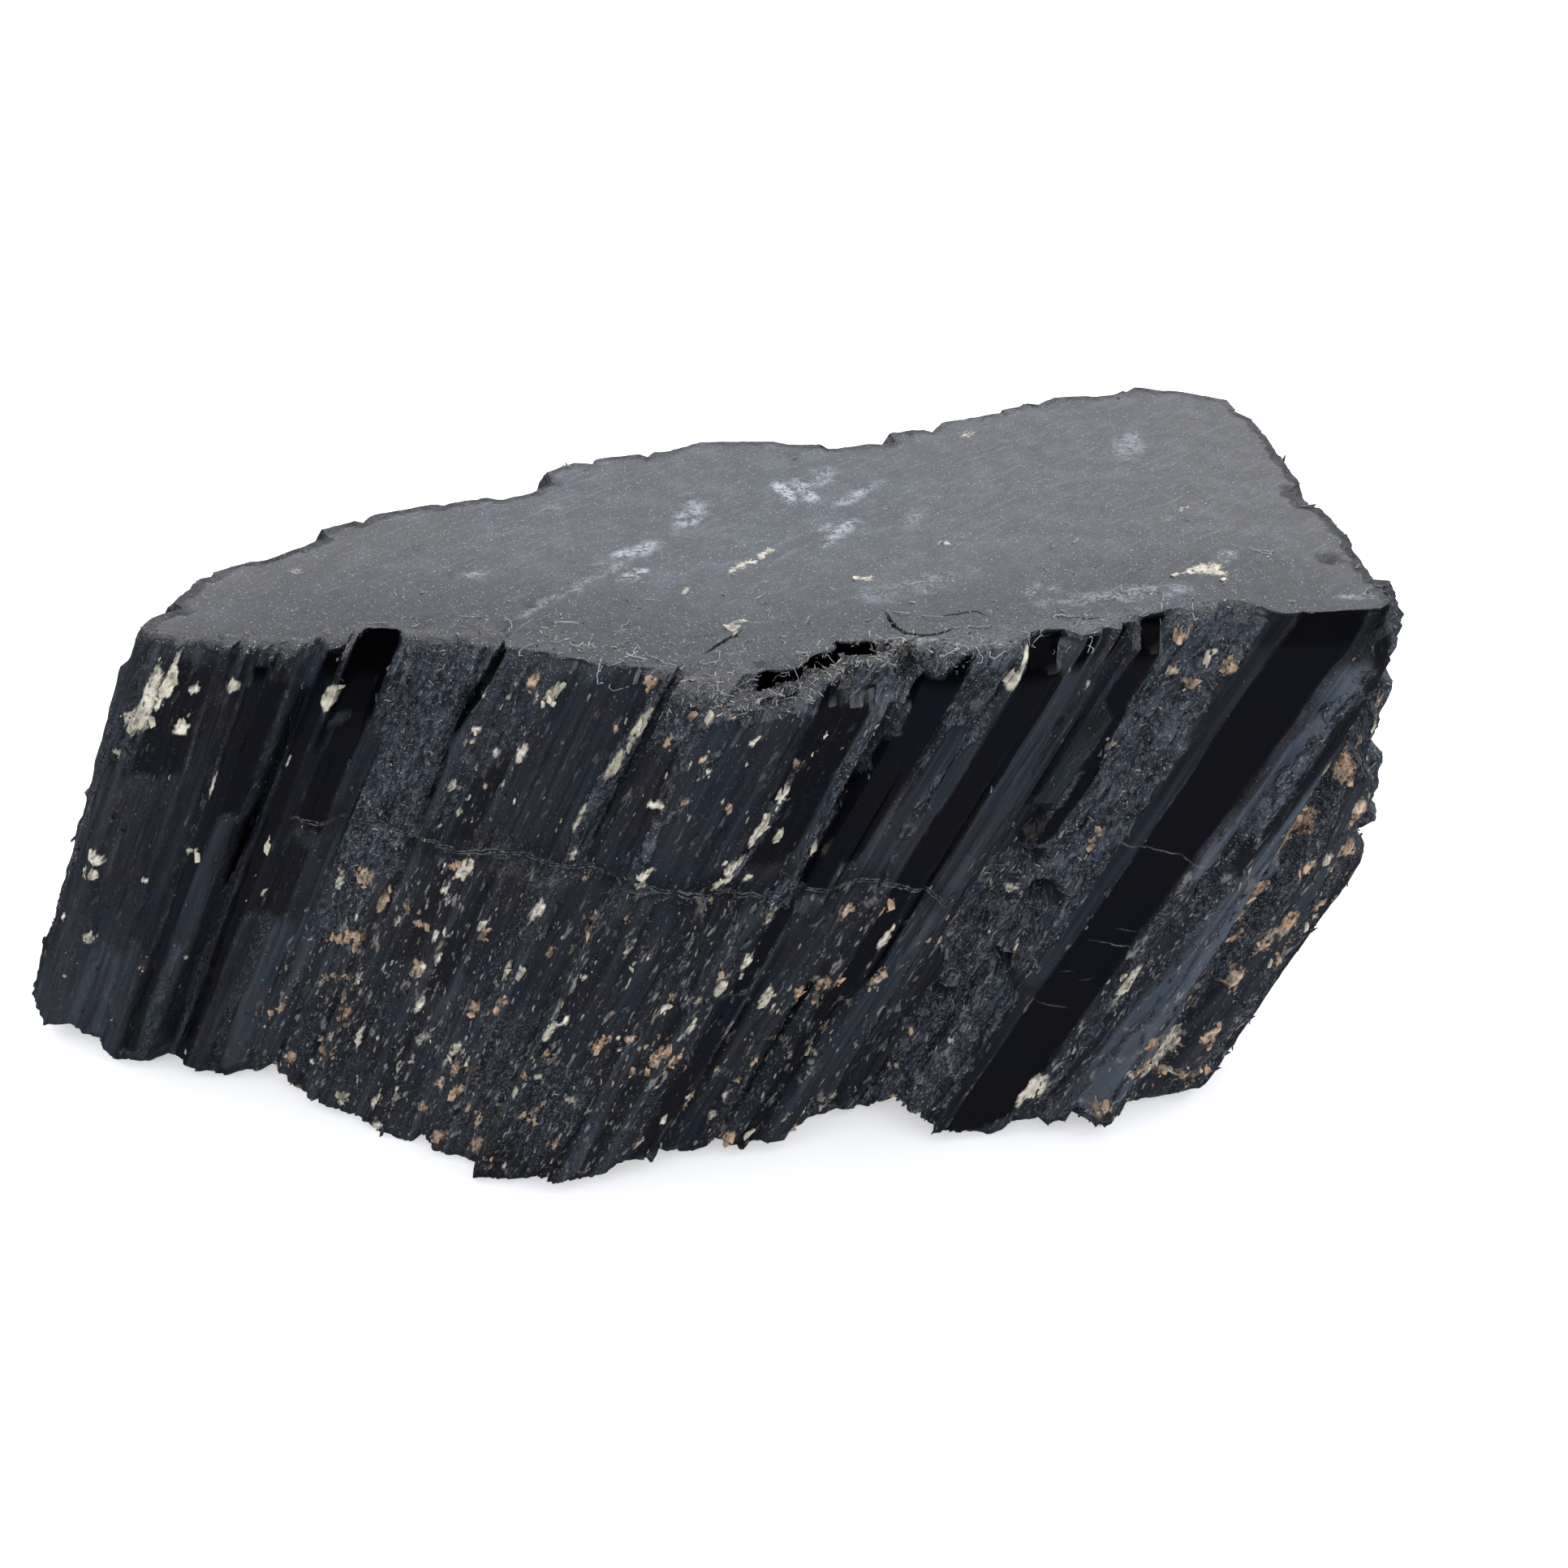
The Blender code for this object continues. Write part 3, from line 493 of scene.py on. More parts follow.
def distance_to(points):
    """Distance in mm from every knot of the net to a line of points on the wall."""
    nearest = np.full(along.shape, np.inf)
    for (place, high), (next_place, low) in zip(points, points[1:]):
        step = np.array((next_place - place, (low - high) * GROWTH_LENGTH))
        from_start = np.stack((apart(place), (share - high) * GROWTH_LENGTH), -1)
        part_way = np.clip(from_start @ step / (step @ step), 0.0, 1.0)
        gap = from_start - part_way[..., None] * step
        nearest = np.minimum(nearest, np.linalg.norm(gap, axis=-1))
    return nearest


def drop_to(lines, wobble):
    """Signed distance down the wall to the nearest line, and how open that line is here."""
    offset = np.full_like(along, np.inf)
    open_here = np.zeros_like(along)
    for index, points in enumerate(lines):
        places, shares = zip(*points)
        gap = (share - np.interp(along, places, shares)) * GROWTH_LENGTH + wobble
        taper = np.clip(np.minimum(along - places[0], places[-1] - along), 0.0, 1.0)
        nearer = np.abs(gap) < np.abs(offset)
        offset = np.where(nearer, gap if index % 2 else -gap, offset)
        open_here = np.where(nearer, taper, open_here)
    return offset, open_here


groove = np.zeros_like(along)
line_wobble = layers((noise, 0.12, 0.7, 0.9, 301))
vein_wobble = layers((noise, 0.35, 0.8, 1.0, 302))
for width, depth, points in CRACKS:
    groove = np.maximum(groove, depth * np.exp(-(((distance_to(points) + line_wobble) / width) ** 2)))
all_along = [tuple(point for stretch in FRACTURE_STRETCHES for point in stretch)]
fracture, _ = drop_to(all_along, FRACTURE_WANDER * end_wobble)
fractured = np.zeros_like(along)
for (first, _), *_, (last, _) in FRACTURE_STRETCHES:
    fractured += soft(np.minimum(along - first, last - along), 1.0)
groove = np.maximum(groove, fractured * FRACTURE_DEPTH * np.exp(-((fracture / FRACTURE_HALF_WIDTH) ** 2)))
hairline, hairline_open = drop_to(HAIRLINES, HAIRLINE_WANDER * end_wobble)
for width, points in VEINS:
    vein = soft(width / 2 - distance_to(points) + vein_wobble, VEIN_FADE)
    crushed = np.maximum(crushed, VEIN_CRUSHING * vein)
    gloss *= 1 - VEIN_DULLING * vein
    glassy *= 1 - VEIN_DULLING * vein
print("deepest crack:", round(float(groove.max()), 2), "mm")

# %% [markdown]
# ## Rusty grains and pale feldspar
# Feldspar and mica grew between the columns, and iron from the soil has stained some
# of it orange. The larger spots are placed one by one where the specimen has them.
# The small ones are strewn by chance over the zones that carry them.

# %% Mark the spots
# Place along the wall (mm), share of the way down, length down the wall and width (mm).
RUSTY_SPOTS = (
    (19.6, 0.456, 1.5, 1.5), (21.5, 0.504, 1.9, 0.8), (23.2, 0.492, 0.9, 0.6), (24.6, 0.516, 1.1, 1.1),
    (20.6, 0.585, 1.6, 1.5), (19.8, 0.6, 0.7, 1.6), (20.5, 0.685, 0.8, 1.7), (25, 0.392, 1.1, 0.8),
    (29, 0.496, 0.6, 0.7), (30.4, 0.66, 2, 0.7), (30.5, 0.84, 1.6, 0.9), (21.8, 0.856, 1.3, 0.9),
    (19.8, 0.9, 1.9, 0.9), (30.1, 0.904, 0.9, 0.9), (32.1, 0.94, 1.4, 1.3), (34.8, 0.94, 2, 1),
    (38.9, 0.664, 1.3, 0.9), (35.7, 0.74, 1.1, 0.6), (38.8, 0.448, 0.4, 0.4), (36.8, 0.396, 0.6, 0.3),
    (41.1, 0.392, 0.4, 0.9), (51.1, 0.637, 1.2, 0.9), (47.5, 0.836, 1.2, 0.9), (45.4, 0.908, 1.1, 0.9),
    (45.2, 0.975, 1.3, 1.2), (52.1, 0.955, 1.4, 1.2), (57.2, 0.975, 0.9, 1.4), (43.4, 0.708, 1.8, 1.6),
    (24.9, 0.044, 1.5, 0.8), (36.7, 0.168, 0.8, 0.5), (34.4, 0.088, 0.7, 0.8), (30.9, 0.1, 0.6, 0.5),
    (35.1, 0.04, 0.4, 0.4), (36.6, 0.096, 0.6, 0.4), (40.3, 0.14, 0.4, 0.4), (41.5, 0.148, 0.7, 0.5),
    (40.8, 0.028, 0.4, 0.4), (40.4, 0.216, 0.4, 0.4), (31.6, 0.018, 0.7, 0.9), (52.8, 0.452, 1.1, 1),
    (50.8, 0.46, 1.6, 0.7), (52, 0.6, 1.6, 0.6), (63, 0.035, 0.9, 0.9), (66.4, 0.09, 1.4, 0.8),
    (63.7, 0.1, 0.7, 0.9), (65.3, 0.124, 0.7, 0.7), (63, 0.22, 0.35, 0.5), (77, 0.3, 2.4, 0.8),
    (78.4, 0.36, 2.2, 0.7), (75.9, 0.43, 2.4, 0.7), (77.3, 0.47, 1.8, 0.6), (78.1, 0.58, 2.4, 0.7),
    (76.2, 0.56, 2.6, 0.6), (77.6, 0.68, 2.2, 0.6), (76, 0.7, 2.8, 0.6), (79.3, 0.46, 1.6, 0.5),
    (75.9, 0.84, 2.4, 0.7), (78.4, 0.8, 2, 0.7),
)
PALE_SPOTS = (
    (2.2, 0.11, 5.6, 1.2), (1.8, 0.155, 2, 2.2), (3.3, 0.066, 4.8, 0.9), (3, 0.1, 3, 0.5),
    (5, 0.165, 1.3, 1.2), (5.1, 0.085, 1, 0.9), (7.5, 0.07, 1.2, 0.7), (13.4, 0.088, 2, 1),
    (1.2, 0.235, 0.8, 1.1), (8.3, 0.27, 2.4, 0.3), (2.3, 0.47, 1.6, 1.7), (2.6, 0.51, 1.3, 0.8),
    (3.6, 0.68, 0.9, 1.1), (8.3, 0.42, 1, 0.4), (12.3, 0.22, 1.6, 0.3), (25.8, 0.395, 2, 0.9),
    (31.4, 0.435, 2.4, 0.7), (26.5, 0.528, 0.7, 0.6), (31.3, 0.56, 2.2, 0.45), (30.4, 0.752, 1.9, 0.6),
    (23.9, 0.79, 3.2, 0.5), (38.7, 0.536, 1.6, 0.2), (41.1, 0.552, 1.6, 0.2), (26.3, 0.052, 1.5, 0.7),
    (22.4, 0.076, 0.6, 0.5), (22.9, 0.136, 0.7, 0.7), (26.2, 0.16, 1.6, 0.5), (24.6, 0.176, 0.7, 0.6),
    (25.9, 0.216, 0.6, 0.5), (24, 0.285, 1.1, 0.5), (32.1, 0.09, 2.4, 0.7), (31.8, 0.148, 2.4, 0.8),
    (32.3, 0.06, 1.3, 0.4), (31.7, 0.17, 1.4, 0.5), (31.2, 0.25, 1.9, 0.5), (31.9, 0.32, 1.3, 0.5),
    (36.7, 0.3, 0.8, 0.8), (36.6, 0.33, 0.9, 0.7), (35.4, 0.184, 0.9, 1.1), (37, 0.128, 0.9, 0.3),
    (42.4, 0.14, 0.4, 0.6), (41.7, 0.2, 2, 0.5), (41.4, 0.25, 3, 0.6), (41, 0.318, 1.6, 1.2),
    (41, 0.35, 1.2, 1.4), (42.8, 0.36, 0.9, 0.8), (43, 0.28, 0.9, 0.9), (52.3, 0.02, 1.4, 0.4),
    (52.2, 0.055, 1.6, 0.5), (57.6, 0.088, 0.8, 0.4), (57.8, 0.112, 0.8, 0.4), (65.4, 0.08, 0.8, 0.6),
    (62.5, 0.496, 0.8, 1.1), (59.8, 0.45, 2.6, 0.25), (59.6, 0.52, 2.2, 0.25), (72.6, 0.66, 4.6, 0.8),
    (77.2, 0.87, 5.6, 1.5), (71.9, 0.885, 3.8, 1.1), (39.1, 0.784, 0.7, 0.8), (49.8, 0.656, 0.8, 0.4),
)
# First and last place, first and last share down, number, smallest and largest (mm), rusty share.
STREWN = (
    (17, 46, 0.42, 1, 190, 0.2, 0.85, 0.4), (22, 27, 0.03, 0.4, 34, 0.2, 0.6, 0.15),
    (31, 47, 0.02, 0.38, 50, 0.15, 0.45, 0.4), (46, 66, 0.45, 1, 60, 0.2, 0.8, 0.35),
    (75, 80.5, 0.2, 1, 60, 0.3, 1.1, 0.6), (61.5, 66, 0.02, 0.45, 12, 0.2, 0.5, 0.5),
    (0.5, 16, 0.25, 0.95, 14, 0.2, 0.5, 0), (81, 116, 0.3, 1, 90, 0.3, 1.2, 0.6),
    (116, 194, 0.03, 1, 190, 0.3, 1.3, 0.5),
)
SPOT_FADE = 0.9


def spot(place, high, length, width, ragged):
    """A ragged patch stretched along the growth lines."""
    reach = np.hypot(apart(place) / (width / 2), (share - high) * GROWTH_LENGTH / (length / 2))
    return soft(1.0 - reach + ragged, SPOT_FADE)


LARGE_SPOT = 1.0
NEAR_ENOUGH = 2.0
LENGTHS_PER_WIDTH = (1.2, 3.6)
STRENGTHS = (0.5, 1.0)
STREWING_SEED = 17
SPOT_SHRINK = 0.12
ragged_edge = layers((noise, 0.35, 0.5, 0.8, 401)) - SPOT_SHRINK
rusty = np.zeros_like(along)
pale = np.zeros_like(along)
for row in RUSTY_SPOTS:
    rusty = np.maximum(rusty, spot(*row, ragged_edge))
for row in PALE_SPOTS:
    pale = np.maximum(pale, spot(*row, ragged_edge * (0.5 if row[3] > LARGE_SPOT else 1.0)))
rng = np.random.default_rng(STREWING_SEED)
for first, last, high, low, count, smallest, largest, rusty_share in STREWN:
    for _ in range(count):
        width = smallest + (largest - smallest) * rng.random() ** 2
        place, drop = rng.uniform(first, last), rng.uniform(high, low)
        row = (place, drop, width * rng.uniform(*LENGTHS_PER_WIDTH), width)
        close = np.abs(apart(place)) < NEAR_ENOUGH
        kind = rusty if rng.random() < rusty_share else pale
        kind[close] = np.maximum(kind, spot(*row, ragged_edge) * rng.uniform(*STRENGTHS))[close]
calm = 1 - 0.85 * soft(gloss - 0.8, 0.1)
rusty *= calm
print("rusty share:", round(float((rusty > HALF).mean()), 3))
print("pale share:", round(float((pale > HALF).mean()), 3))

# %% [markdown]
# ## The relief of the wall
# All of it comes together as one height for every knot of the net: ribs and splinters
# between the faces, fine lines along them, meal in the crushed bands, grooves, and
# the crumbled edges at rim and foot. Close to the rim the relief is calmed, because
# there the columns broke level with the top.

# %% Shape the wall
FOOT_BEVEL = 1.5
FOOT_SLOPE = 0.7
SPOT_HEIGHT = 0.10
END_MIDDLE = 98.0
FRACTURE_PASSES = 5
NICHE_PLACE = 14.9
NICHE_RADIUS = 1.3
NICHE_LENGTH = 7.0
NICHE_DEPTH = 1.1
NICHE_OPEN_TOP = 0.5
arch = np.hypot(apart(NICHE_PLACE) + 0.5 * side_wobble, np.minimum(down - NICHE_RADIUS + NICHE_OPEN_TOP, 0.0))
niche_end = soft(NICHE_LENGTH - down, 6.0)
niche = soft(NICHE_RADIUS - arch, 0.3) * niche_end
hollow = np.sqrt(np.clip(1 - (arch / NICHE_RADIUS) ** 2, 0.0, 1.0)) * niche_end
between = 1 - np.maximum(glassy, 0.6 * crushed)
upright = 1 - 0.8 * crushed
# Splinters between the faces, long ribs, the faces' own lines, crumbs, and grains that stand out.
splinters = ((shards, 0.16, 2.1, 9.0, 1), (shards, 0.11, 1.0, 4.5, 2), (shards, 0.06, 0.5, 2.4, 3))
relief = layers(*splinters) * between
relief += upright * (1 - 0.6 * glassy) * layers((shards, 0.15, 1.5, 34.0, 8))
relief += glassy * layers((shards, 0.04, 1.3, 26.0, 4), (noise, 0.02, 0.38, 30.0, 5))
relief += upright * layers((noise, 0.04, 0.45, 14.0, 6)) * (1 - 0.6 * soft(gloss - 0.85, 0.1))
relief += crushed * layers((grain, 0.20, 1.4, 7), (shards, 0.12, 0.6, 1.4, 10), (noise, 0.10, 0.8, 3.5, 16))
relief += SPOT_HEIGHT * rusty * (1 + layers((shards, 1.0, 0.45, 0.6, 11)))
relief += SPOT_HEIGHT * pale * (1 + layers((shards, 1.0, 0.5, 1.0, 12)))
relief *= 0.55 + 0.45 * soft(down - 0.5, 1.0)
relief *= 1 - 0.9 * niche
relief -= NICHE_DEPTH * hollow
relief *= 1 - 0.4 * near(END_MIDDLE, 18.0, 3.0)
relief -= groove
broken = layers((noise, 0.32, 4.2, 3.0, 14), (shards, 0.08, 0.9, 0.8, 15))
relief -= np.clip(FOOT_BEVEL * (0.6 + broken) - (HEIGHT - down), 0.0, None) * FOOT_SLOPE
wall = base + outward * relief[..., None]
near_fracture = 0.8 * fractured * soft(1.3 - np.abs(fracture), 0.9)
for _ in range(FRACTURE_PASSES):
    eased = (wall[:-2, :, :2] + wall[2:, :, :2]) / 2
    wall[1:-1, :, :2] += (eased - wall[1:-1, :, :2]) * near_fracture[1:-1, :, None]
print("relief:", round(float(relief.min()), 2), "to", round(float(relief.max()), 2), "mm")

# %% [markdown]
# ## The worn rim
# Now the slid rows are set back from the wall into their profile: top edge, gap, lip,
# wall. The two front corners are rounded off, because they wore most. The gap gets a
# mark of its own, and is painted dark as shade, because hardly any light finds its way out.

# %% Shape the rim
LEFT_CORNER = -0.4
RIGHT_CORNER = 73.3
CORNER_REACH = 2.6
CORNER_DROP = 3.0
CORNER_PASSES = 30
LIP_ROW = 4
WIDE_GAP_DEPTH = 2.4
RIM_CRUMBS = 0.05
for row, (across_share, _, gap_share) in enumerate(LEDGE_ROWS):
    rounded_share = 1 - (1 - row / (len(LEDGE_ROWS) - 1)) ** EDGE_ROUNDING
    if 0 < row < LIP_ROW:
        across_share = across_share * np.clip(gap_depth / WIDE_GAP_DEPTH, 0.3, 1.0)
    across_share = np.where(gap_depth > LEAST_GAP, across_share, rounded_share)
    set_back = ledge_width * (1 - across_share) * worn_edge
    wall[row, :, :2] -= outward[row, :, :2] * set_back[:, None]
    wall[row, :, 2] = HEIGHT - down[row] - gap_depth * gap_share
    wall[row, :, 2] += RIM_CRUMBS * noise(columns, columns * 0 + row * 3.0, 0.6, 1.0, 18) * (row > 0)
at_corner = np.maximum(near(LEFT_CORNER, CORNER_REACH, 1.0), near(RIGHT_CORNER, CORNER_REACH, 1.0))
rounded = 0.5 * at_corner * soft(CORNER_DROP - down, 1.0)
for _ in range(CORNER_PASSES):
    between_neighbours = (np.roll(wall, 1, axis=1) + np.roll(wall, -1, axis=1)) / 2
    wall[..., :2] += rounded[..., None] * (between_neighbours - wall)[..., :2]
on_ledge = soft(ledge_width - 0.3, 0.4) * soft(ledge_drop * 1.2 + 0.2 - down, 0.5)
row_numbers = np.arange(len(depths))[:, None]
in_gap = soft(gap_depth - 0.7, 0.8) * ((row_numbers > 0) & (row_numbers < LIP_ROW))
print("widest ledge:", round(float(ledge_width.max()), 1), "mm")
print("knots in the gap:", int((in_gap > HALF).sum()))

# %% [markdown]
# ## The broken top and the base
# The top broke almost flat. Each cap is filled with evenly scattered points inside
# the outline of the wall, joined up by a Delaunay triangulation, which keeps the
# triangles well shaped and shares its outer points with the wall. Cracks get three
# rows of points of their own, the middle one lowered, so they stay sharp.

# %% Fill the caps
TOP_CRACKS = (
    (0.16, 0.7, ((14.2, -13.4), (14.6, -15.3), (15.2, -16.1), (16.1, -16.3), (17, -16), (17.9, -15.4))),
    (0.1, 0.4, ((17.2, -13.9), (18.6, -13.5), (19.2, -13.3), (19.7, -13.9))), (0.13, 0.6, ((4.4, -18.4),
    (5.1, -17.4), (6, -16.1))), (0.11, 0.4, ((11.9, -17.3), (12.6, -17.5), (13.1, -17))),
    (0.08, 0.3, ((24, -13.9), (25.2, -14.3), (26, -14.2))),
)
# Middle (mm), length and width, turn (degrees) and strength of the pale smears on top.
TOP_SMEARS = (
    ((8.5, 3.9), (3.4, 0.9), 107, 1.2), ((9.9, 3.6), (3.8, 1), 108, 1), ((2.7, -0.4),
    (4.4, 1.5), 73, 0.7), ((-0.4, -5.5), (3.6, 0.9), 46, 1), ((-0.1, -8.7), (1.6, 0.9), 52, 1.1), ((13.1, 3),
    (4.6, 0.9), 51, 0.7), ((12.1, -2.4), (4, 0.8), 63, 0.8), ((11.1, -2.1),
    (1.3, 0.6), 45, 0.7), ((-2.4, -9.3), (12.6, 0.5), 53, 0.5), ((-9.2, -8.8),
    (1.8, 0.8), 27, 0.5), ((-5.9, 0.6), (2, 1.2), 55, 0.4), ((16.6, -0.6),
    (2.4, 0.8), 75, 0.4), ((34.4, -6.4), (3.4, 0.6), 59, 0.7), ((41, -11.5),
    (2.4, 0.5), 9, 0.9), ((22.7, -10.6), (1.6, 0.4), 61, 0.8), ((24, -10.4),
    (1.6, 0.4), 64, 0.8), ((28, -11.3), (9, 1.6), 12, 0.4), ((31.7, 11.5), (5, 2), 71, 0.4), ((11.2, 5.9),
    (4, 1.2), 80, 0.5), ((16, -10), (8, 2.5), 30, 0.25),
)
TOP_PALE = (
    ((6.9, -6.5), (5.2, 0.5), 52, 1), ((32.8, -8), (2.8, 1), 25, 1.1), ((33.4, -8.5),
    (1.6, 0.7), -20, 1), ((6, -14.9), (2, 0.5), 64, 1.1), ((13.2, -9.2), (1.5, 0.6), 45, 0.9), ((18.4, -4.1),
    (0.9, 0.5), 55, 0.9), ((33.3, 0.8), (1.2, 0.5), 32, 0.8), ((3.1, -10.9),
    (0.5, 0.5), 38, 1.2), ((21.1, 13.4), (2, 1.2), 51, 0.5), ((-19.5, -8.2), (1.4, 0.8), -25, 0.6),
)
# Middle (mm) and radius of pits on top, sunk and given painted shade.
TOP_PITS = (
    ((40.7, -5.8), 1.1), ((-5.6, -12.6), 0.6), ((-6.6, -15.2), 0.55), ((24.6, -4.5), 0.4),
)
CAP_STEP = {1: 0.50, -1: 1.15}
CAP_ROW_SHARE = 0.87
CAP_JITTER = 0.3
CAP_SEED = 40
SAME_PLACE = 1e-5
EDGE_CLEAR = 0.22
CRACK_STEP = 0.2
CRACK_CLEAR = 0.25
CRACK_JOG = 0.06
PATCH_FADE = 0.8
# Cap points lie round zero, but noise needs places above zero.
NOISE_SHIFT = 60.0
TOP_GRAIN_TURN = math.radians(45.0)


def inside(points, outline):
    """Which points lie inside a closed outline and clear of it."""
    x, y = points[:, :1], points[:, 1:]
    first, second = outline, np.roll(outline, -1, axis=0)
    crosses = (first[:, 1] > y) != (second[:, 1] > y)
    rise = second[:, 1] - first[:, 1]
    slope = (second[:, 0] - first[:, 0]) / np.where(rise == 0.0, 1.0, rise)
    odd = (crosses & (x < first[:, 0] + (y - first[:, 1]) * slope)).sum(axis=1) % 2 == 1
    clear = np.hypot(x - first[:, 0], y - first[:, 1]).min(axis=1) > EDGE_CLEAR
    return odd & clear


def crack_rows(width, depth, points):
    """Points along a crack: two edges and a lowered middle."""
    stops = np.array(points) - BOX_MIDDLE
    length = np.concatenate(((0.0,), np.cumsum(np.linalg.norm(np.diff(stops, axis=0), axis=1))))
    way = np.arange(0.0, length[-1], CRACK_STEP)
    line = np.stack([np.interp(way, length, stops[:, axis]) for axis in (0, 1)], -1)
    heading = np.gradient(line, axis=0)
    heading /= np.linalg.norm(heading, axis=1, keepdims=True)
    side = np.stack((-heading[:, 1], heading[:, 0]), -1)
    taper = np.sin(np.pi * np.clip(way / length[-1], 0.02, 0.98))[:, None] ** 0.5
    jog = CRACK_JOG * noise(way * 3.0 + points[0][0] + NOISE_SHIFT, way * 0.0, 1.0, 1.0, 501)[:, None]
    centre = line + side * jog
    rows = [np.hstack((centre + side * offset * width * taper, -drop * depth * taper))
            for offset, drop in ((-1.0, 0.0), (0.0, 1.0), (1.0, 0.0))]
    return np.vstack(rows)


def patch(points, rows, ragged):
    """Soft patches on a cap, each with its middle, size, turn and strength."""
    total = np.zeros(len(points))
    for middle, size, turn, strength in rows:
        away = points[:, :2] + BOX_MIDDLE - middle
        cos, sin = math.cos(math.radians(turn)), math.sin(math.radians(turn))
        reach = np.hypot((away @ (cos, sin)) / size[0], (away @ (-sin, cos)) / size[1]) * 2
        total = np.maximum(total, strength * soft(1.0 - reach + ragged, PATCH_FADE))
    return total


def fill_cap(facing):
    """Points and triangles of one cap; the first points are those of the wall."""
    edge = wall[0] if facing > 0 else wall[-1]
    step = CAP_STEP[facing]
    low, high = edge.min(axis=0), edge.max(axis=0)
    x, y = np.meshgrid(np.arange(low[0], high[0], step), np.arange(low[1], high[1], step * CAP_ROW_SHARE))
    x[1::2] += step / 2
    rng = np.random.default_rng(CAP_SEED + facing)
    jitter = rng.uniform(-CAP_JITTER, CAP_JITTER, (2, *x.shape)) * step
    points = np.stack(((x + jitter[0]).ravel(), (y + jitter[1]).ravel(), np.zeros(x.size)), -1)
    if facing > 0:
        cracks = np.vstack([crack_rows(*row) for row in TOP_CRACKS])
        gap = np.hypot(points[:, :1] - cracks[:, 0], points[:, 1:2] - cracks[:, 1]).min(axis=1)
        points = np.vstack((points[gap > CRACK_CLEAR], cracks))
    points = points[inside(points[:, :2], edge[:, :2])]
    level = HEIGHT if facing > 0 else 0.0
    drop = points[:, 2].copy()
    for index, (x, y, _) in enumerate(points):
        start = Vector((x, y, level + RAY_START * facing))
        found = solid.ray_cast(start, Vector((0.0, 0.0, -facing)), 2 * RAY_START)[0]
        points[index, 2] = found.z if found else level
    points[:, 2] += drop
    flat = np.vstack((edge[:, :2], points[:, :2]))
    outline = [(i, (i + 1) % len(edge)) for i in range(len(edge))]
    _, _, faces, origin, _, _ = delaunay_2d_cdt([Vector(p) for p in flat], outline, [], 1, SAME_PLACE)
    known = [sources[0] if sources else None for sources in origin]
    extra = sum(index is None for index in known)
    triangles = [[known[corner] for corner in face] for face in faces]
    triangles = [face for face in triangles if None not in face]
    print("cap", "top" if facing > 0 else "base", len(points), "points inside,", extra, "crossings")
    return points, triangles, drop


top_points, top_faces, top_crack_drop = fill_cap(1)
base_points, base_faces, _ = fill_cap(-1)

# %% [markdown]
# ## One closed skin
# Wall and caps share their edge points, so the skin is closed. Every mark made above
# is stored on its points as an attribute, and the materials read them. The vector
# "lines" holds the place on the growth line instead of the place in space: a pattern
# drawn in it runs along the leaning columns.

# %% Build the skin
TOP_SINK = 0.14
PIT_SHARE = 0.66
PIT_DEPTH = 0.9
cap_x, cap_y = (top_points[:, :2] + NOISE_SHIFT).T
turned_x = cap_x * math.cos(TOP_GRAIN_TURN) + cap_y * math.sin(TOP_GRAIN_TURN)
turned_y = cap_y * math.cos(TOP_GRAIN_TURN) - cap_x * math.sin(TOP_GRAIN_TURN) + NOISE_SHIFT
streaks = noise(turned_y, turned_x, 1.3, 7.0, 605)
top_points[:, 2] += 0.09 * grain(cap_x, cap_y, 3.5, 601) + 0.04 * streaks
top_points[:, 2] += 0.04 * grain(cap_x, cap_y, 1.1, 621) - TOP_SINK
pits = np.clip(grain(cap_x, cap_y, 1.6, 631) - PIT_SHARE, 0.0, None)
for middle, radius in TOP_PITS:
    from_pit = np.hypot(*(top_points[:, :2] + BOX_MIDDLE - middle).T * ((0.6,), (1.0,)))
    pits += 0.3 * np.exp(-((from_pit / radius) ** 2) * 2)
top_points[:, 2] -= PIT_DEPTH * pits
base_points[:, 2] += np.clip(0.5 * grain(*(base_points[:, :2] + NOISE_SHIFT).T, 5.0, 641) + 0.35, 0.0, None)

slant = (ring(0.0, columns) - ring(HEIGHT, columns)) / 2
middle_ring = ring(HEIGHT / 2, columns)
wall_lines = np.dstack((np.broadcast_to(middle_ring, (*along.shape, 2)), run))
growth = np.broadcast_to(np.column_stack((2 * slant, np.full(len(columns), -HEIGHT))), wall.shape)
growth = growth / np.linalg.norm(growth, axis=-1, keepdims=True)
shift = slant.mean(axis=0)


def cap_lines(points, facing):
    """Growth line coordinates of cap points."""
    depth = np.full(len(points), 0.0 if facing > 0 else GROWTH_LENGTH)
    return np.column_stack((points[:, :2] + shift * facing, depth))


def from_rim(points, first, last):
    """Distance in mm from cap points to a stretch of the rim."""
    rim = ring(HEIGHT, np.arange(first, last, 0.5))
    return np.hypot(points[:, :1] - rim[:, 0], points[:, 1:2] - rim[:, 1]).min(axis=1)


ragged_top = 0.4 * noise(cap_x, cap_y, 0.7, 0.7, 651)
smears = patch(top_points, TOP_SMEARS, ragged_top)
pale_top = patch(top_points, TOP_PALE, 0.4 * ragged_top)
front_dust = 0.28 * np.exp(-from_rim(top_points, 42.0, 64.0) / 1.4)
rim_dust = 0.36 * on_ledge * near(48.5, 5.0, 2.0)
top_shade = np.maximum(np.clip(-top_crack_drop / 0.15, 0.0, 1.0), np.clip(pits * 1.5, 0.0, 0.38))
from_front = from_rim(top_points, 22.0, 62.0)
fluff = soft(4.0 - from_front, 5.0) + 0.10 * soft(12.0 - from_front, 8.0)
matt_slope = np.clip(0.95 - down / 0.42, 0.0, 1.0) * soft(ledge_width - 0.45, 0.2)
matt_slope = matt_slope * (gap_depth < LEAST_GAP) * (1 - niche)
